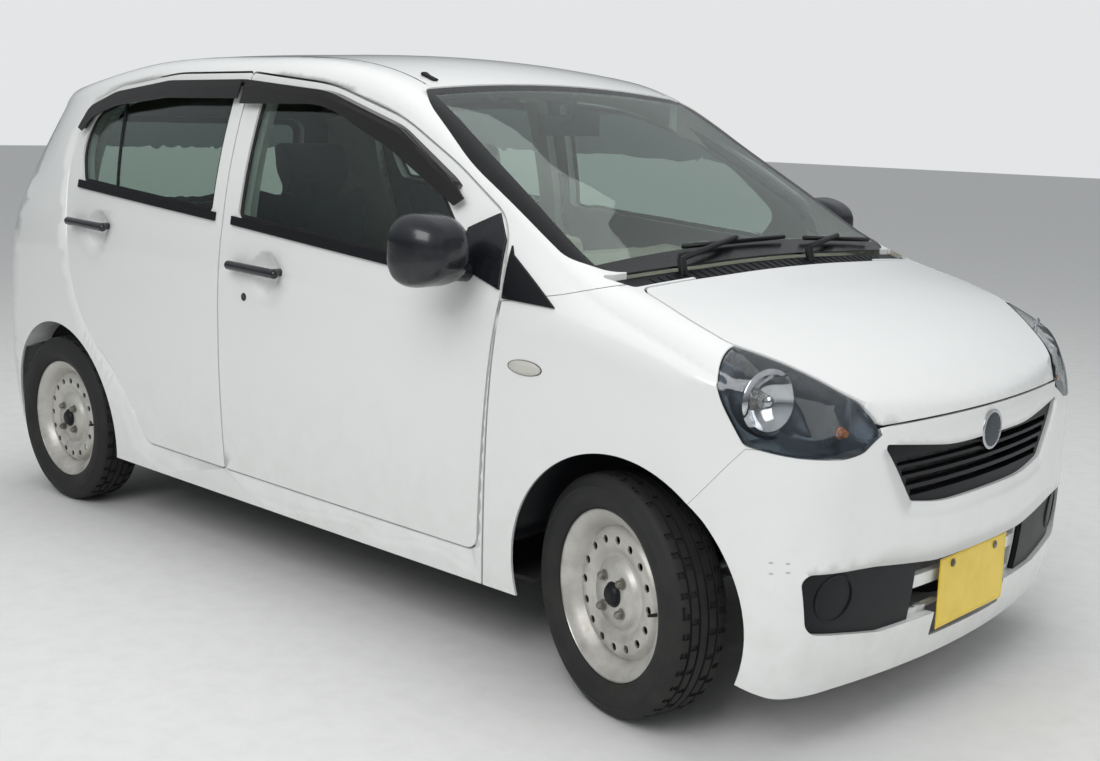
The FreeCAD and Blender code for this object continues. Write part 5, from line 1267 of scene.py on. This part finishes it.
@dataclass
class Cabin(Assembly):
    """Seats, dashboard, steering wheel and the small things seen through the glass."""

    voxel: float = 16.0
    shrink: float = 5.0
    pressure: float = 4.0
    cloth_frames: int = 12
    fill: float = 0.6
    vent_y: tuple[float, ...] = (-555.0, -75.0, 75.0, 555.0)
    vent_radius: float = 27.5

    def padded(self, mesh: BMesh, name: str, fill: float, replaces: tuple[str, ...]) -> None:
        """Makes a seat's form in upholstery: shrunk a little, then blown up against the solid's own limits.

        Args:
            mesh: the seat's solid. It is freed.
            name: the piece's name.
            fill: how tight its padding is; not used.
            replaces: the CAD node it stands for.
        """
        limit = BVHTree.FromBMesh(mesh)
        for vert in mesh.verts:
            vert.co -= vert.normal * self.shrink * MM
        piece = self.add(mesh, name, SEAT_CLOTH, "seat_cloth", replaces=replaces, crease_deg=180.0)
        form = piece.modifiers.new("form", "REMESH")
        form.mode = "VOXEL"
        form.voxel_size = self.voxel * MM
        self.apply(piece)
        cloth = piece.modifiers.new("pad", "CLOTH").settings
        cloth.use_pressure = True
        cloth.uniform_pressure_force = self.pressure
        cloth.effector_weights.gravity = 0.0
        cloth.quality = 4
        for step in range(1, self.cloth_frames + 1):
            bpy.context.scene.frame_set(step)
        self.apply(piece)
        bpy.context.scene.frame_set(1)
        for vert in piece.data.vertices:
            near, normal, _, away = limit.find_nearest(vert.co)
            if near is not None and (vert.co - near).dot(normal) > 0:
                vert.co = near + (vert.co - near) * min(1.0, 0.2 * MM / max(away, 1e-9))
        smooth = piece.modifiers.new("soft", "SUBSURF")
        smooth.levels = smooth.render_levels = 1
        self.apply(piece)

    def apply(self, piece: Object) -> None:
        """Settles a piece's modifiers into its mesh.

        Args:
            piece: the piece.
        """
        graph = bpy.context.evaluated_depsgraph_get()
        data = bpy.data.meshes.new_from_object(piece.evaluated_get(graph), preserve_all_data_layers=True,
                                               depsgraph=graph)
        piece.modifiers.clear()
        piece.data = data
        data.shade_smooth()

    def seats(self) -> None:
        """Upholsters both front seats and the rear bench."""
        for mesh, (word, _) in zip(islands("front_seats"), SIDES):
            self.padded(mesh, "front_seat_" + word, self.fill, ("front_seats",))
        self.padded(merged("rear_seat"), "rear_bench", self.fill, ("rear_seat",))

    def on_dash(self, mesh: BMesh, place: Sequence[float], lean: float) -> BMesh:
        """Lays a mesh on the dashboard's face at a place in millimetres, turned up or down by a lean."""
        return moved(mesh, facing(Vector(place) * MM, Vector((-1, 0, lean))))

    def dashboard(self) -> None:
        """Dresses the dashboard and adds its hood, vents, radio panel and glovebox."""
        self.dress("dashboard", DASH_GRAIN, "dash_plastic")
        hood = block((455, -470, 955), (600, -190, 1012), 22, 6)
        self.add(hood, "instrument_hood", DASH_GRAIN, "dash_plastic")
        vents = []
        for y in self.vent_y:
            fins = [spun(((34, 0), (34, 6), (31, 8), (28, 6), (28, 1), (0, 1)), 40)]
            for lift in (-15, -5, 5, 15):
                reach = math.sqrt(self.vent_radius ** 2 - lift ** 2)
                fins.append(block((-reach, lift - 1.2, 1), (reach, lift + 1.2, 5), 0.6, 1))
            vents += [self.on_dash(fin, (424, y, 850), 0.1) for fin in fins]
        self.add(joined(vents), "dash_vents", BLACK_MOULDED, "dash_plastic")
        radio = self.on_dash(slab(88, 46, 5, 6, 1.2), (428, 0, 775), -0.45)
        self.add(radio, "radio_blank", BLACK_MOULDED, "dash_plastic")
        lid = self.on_dash(slab(165, 62, 5, 14, 2.0), (440, 330, 755), -0.45)
        self.add(lid, "glovebox_lid", DASH_GRAIN, "dash_plastic")

    def fittings(self) -> None:
        """Dresses the steering wheel, the cabin mirror with its glass, the seat rails, seals and carpet."""
        self.dress("steering_wheel", DARK_ABS, "dash_plastic", "steering_wheel")
        self.dress("cabin_mirror", BLACK_MOULDED, "black_plastic")
        self.dress("seat_rails", CHASSIS_BLACK, "chassis_steel")
        self.dress("door_seals", SEAL_RUBBER, "rubber_black")
        self.dress("floor_and_bulkhead", CARPET, "floor_paint")
        low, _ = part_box("cabin_mirror")
        glass = moved(slab(104, 26, 1.6, 12, 0.5), facing(Vector((low[0], 0, 1.306)), Vector((-1, 0, 0))))
        self.add(glass, "cabin_mirror_glass", MIRROR_GLASS, "black_plastic")

    def build(self) -> None:
        """Builds and dresses the cabin."""
        self.seats()
        self.dashboard()
        self.fittings()


@dataclass
class Underbody(Assembly):
    """Everything below the floor and under the bonnet: plain dark parts, seen only from beneath."""

    def build(self) -> None:
        """Dresses the CAD's own forms."""
        table = (("front_frame", CHASSIS_BLACK, "chassis_steel"), ("radiator", CAST_ALLOY, "cast_alloy"),
                 ("engine", CAST_ALLOY, "cast_alloy"), ("front_suspension", CHASSIS_BLACK, "chassis_steel"),
                 ("rear_suspension", CHASSIS_BLACK, "chassis_steel"),
                 ("fuel_tank", CHASSIS_BLACK, "chassis_steel"), ("exhaust", EXHAUST_STEEL, "exhaust_steel"),
                 ("wheel_arch_liners", BLACK_MOULDED, "black_plastic"))
        for node, finish, slot in table:
            self.dress(node, finish, slot)
        for word, _ in SIDES:
            self.dress("knuckle_" + word, CAST_IRON, "knuckle_iron", "steering_knuckle_" + word)


@dataclass
class Studio:
    """Pale floor, soft light and the camera at the photograph's angle."""

    camera_at: tuple[float, float, float] = (3.090, -3.005, 1.322)
    yaw: float = 42.775
    pitch: float = 10.563
    roll: float = 1.673
    focal_mm: float = 45.99
    floor_half: float = 40.0

    def floor(self) -> None:
        """Lays a wide pale floor."""
        mesh = bmesh.new()
        bmesh.ops.create_grid(mesh, x_segments=8, y_segments=8, size=self.floor_half)
        data = bpy.data.meshes.new("studio_floor")
        mesh.to_mesh(data)
        mesh.free()
        data.materials.append(PALE_FLOOR.make())
        floor = stand("studio_floor", data)

    def lamp(self, name: str, place: Sequence[float], aim: Sequence[float], width: float, power: float,
             mirrored: bool) -> None:
        """Adds a large soft lamp.

        Args:
            name: the lamp's name.
            place: where it stands, in metres.
            aim: what it points at.
            width: its square's side, in metres.
            power: its power in watts.
            mirrored: whether paint and glass mirror it.
        """
        light = bpy.data.lights.new(name, "AREA")
        light.size = width
        light.energy = power
        lamp = stand(name, light)
        lamp.location = place
        lamp.rotation_euler = (Vector(aim) - Vector(place)).to_track_quat("-Z", "Y").to_euler()
        lamp.visible_glossy = mirrored

    def world(self) -> None:
        """Gives the camera a pale backdrop, and paint and glass a sky that darkens towards its horizon."""
        world = bpy.data.worlds.new("studio_world")
        bpy.context.scene.world = world
        world.use_nodes = True
        tree = world.node_tree
        up = add_node(tree, "TexCoord").outputs["Generated"]
        height = add_node(tree, "SeparateXYZ", links={"Vector": up}).outputs["Z"]
        stops = ((0.0, "63686D"), (0.10, "8E9398"), (0.3, "D3D7DB"), (0.7, "F4F7FA"))
        sky = ramp(add_node(tree, "ValToRGB", links={"Fac": height}),
                   [(place, linear(code)) for place, code in stops])
        back = tree.nodes["Background"]
        back.inputs["Strength"].default_value = 0.6
        tree.links.new(sky.outputs["Color"], back.inputs["Color"])
        backdrop = add_node(tree, "Background", {"Color": linear("E4E5E6"), "Strength": 1.0})
        seen = add_node(tree, "LightPath").outputs["Is Camera Ray"]
        mixed = add_node(tree, "MixShader", links={"Fac": seen, 1: back.outputs[0], 2: backdrop.outputs[0]})
        tree.links.new(mixed.outputs["Shader"], tree.nodes["World Output"].inputs["Surface"])

    def camera(self) -> None:
        """Stands the camera where the photograph was taken from."""
        yaw, pitch, roll = (math.radians(value) for value in (self.yaw, self.pitch, self.roll))
        ahead = Vector((-math.sin(yaw), math.cos(yaw), 0))
        level = Vector((math.cos(yaw), math.sin(yaw), 0))
        forward = ahead * math.cos(pitch) - Vector((0, 0, math.sin(pitch)))
        above = ahead * math.sin(pitch) + Vector((0, 0, math.cos(pitch)))
        right = level * math.cos(roll) + above * math.sin(roll)
        up = above * math.cos(roll) - level * math.sin(roll)
        data = bpy.data.cameras.new("photo_camera")
        data.lens = self.focal_mm
        data.sensor_width = 36.0
        camera = stand("photo_camera", data)
        turn = Matrix((right, up, -forward)).transposed()
        camera.matrix_world = Matrix.Translation(self.camera_at) @ turn.to_4x4()
        bpy.context.scene.camera = camera

    def build(self) -> None:
        """Sets the stage, the lights, the camera and the plain view transform."""
        self.floor()
        self.world()
        self.lamp("key_lamp", (2.2, -4.8, 4.6), (0.2, 0, 0.6), 3.5, 165, True)
        self.lamp("front_lamp", (6.0, 0.5, 3.0), (0.8, 0, 0.6), 3.0, 60, False)
        self.lamp("top_lamp", (-0.5, 0.5, 5.5), (0, 0, 0.5), 5.0, 130, False)
        self.camera()
        bpy.context.scene.view_settings.view_transform = "Standard"


def main() -> None:
    """Builds every sub-assembly."""
    logging.basicConfig(level=logging.INFO, format="%(name)s %(message)s")
    wheels = [RoadWheel(end=end, word=word) for end in ENDS for word, _ in SIDES]
    for assembly in (Bodywork(), Glazing(), DoorFittings(), *wheels, Lamps(), Nose(), Cowl(), RearWiper(),
                     Cabin(), Underbody(), Studio()):
        assembly.build()


if __name__ == "__main__":
    main()
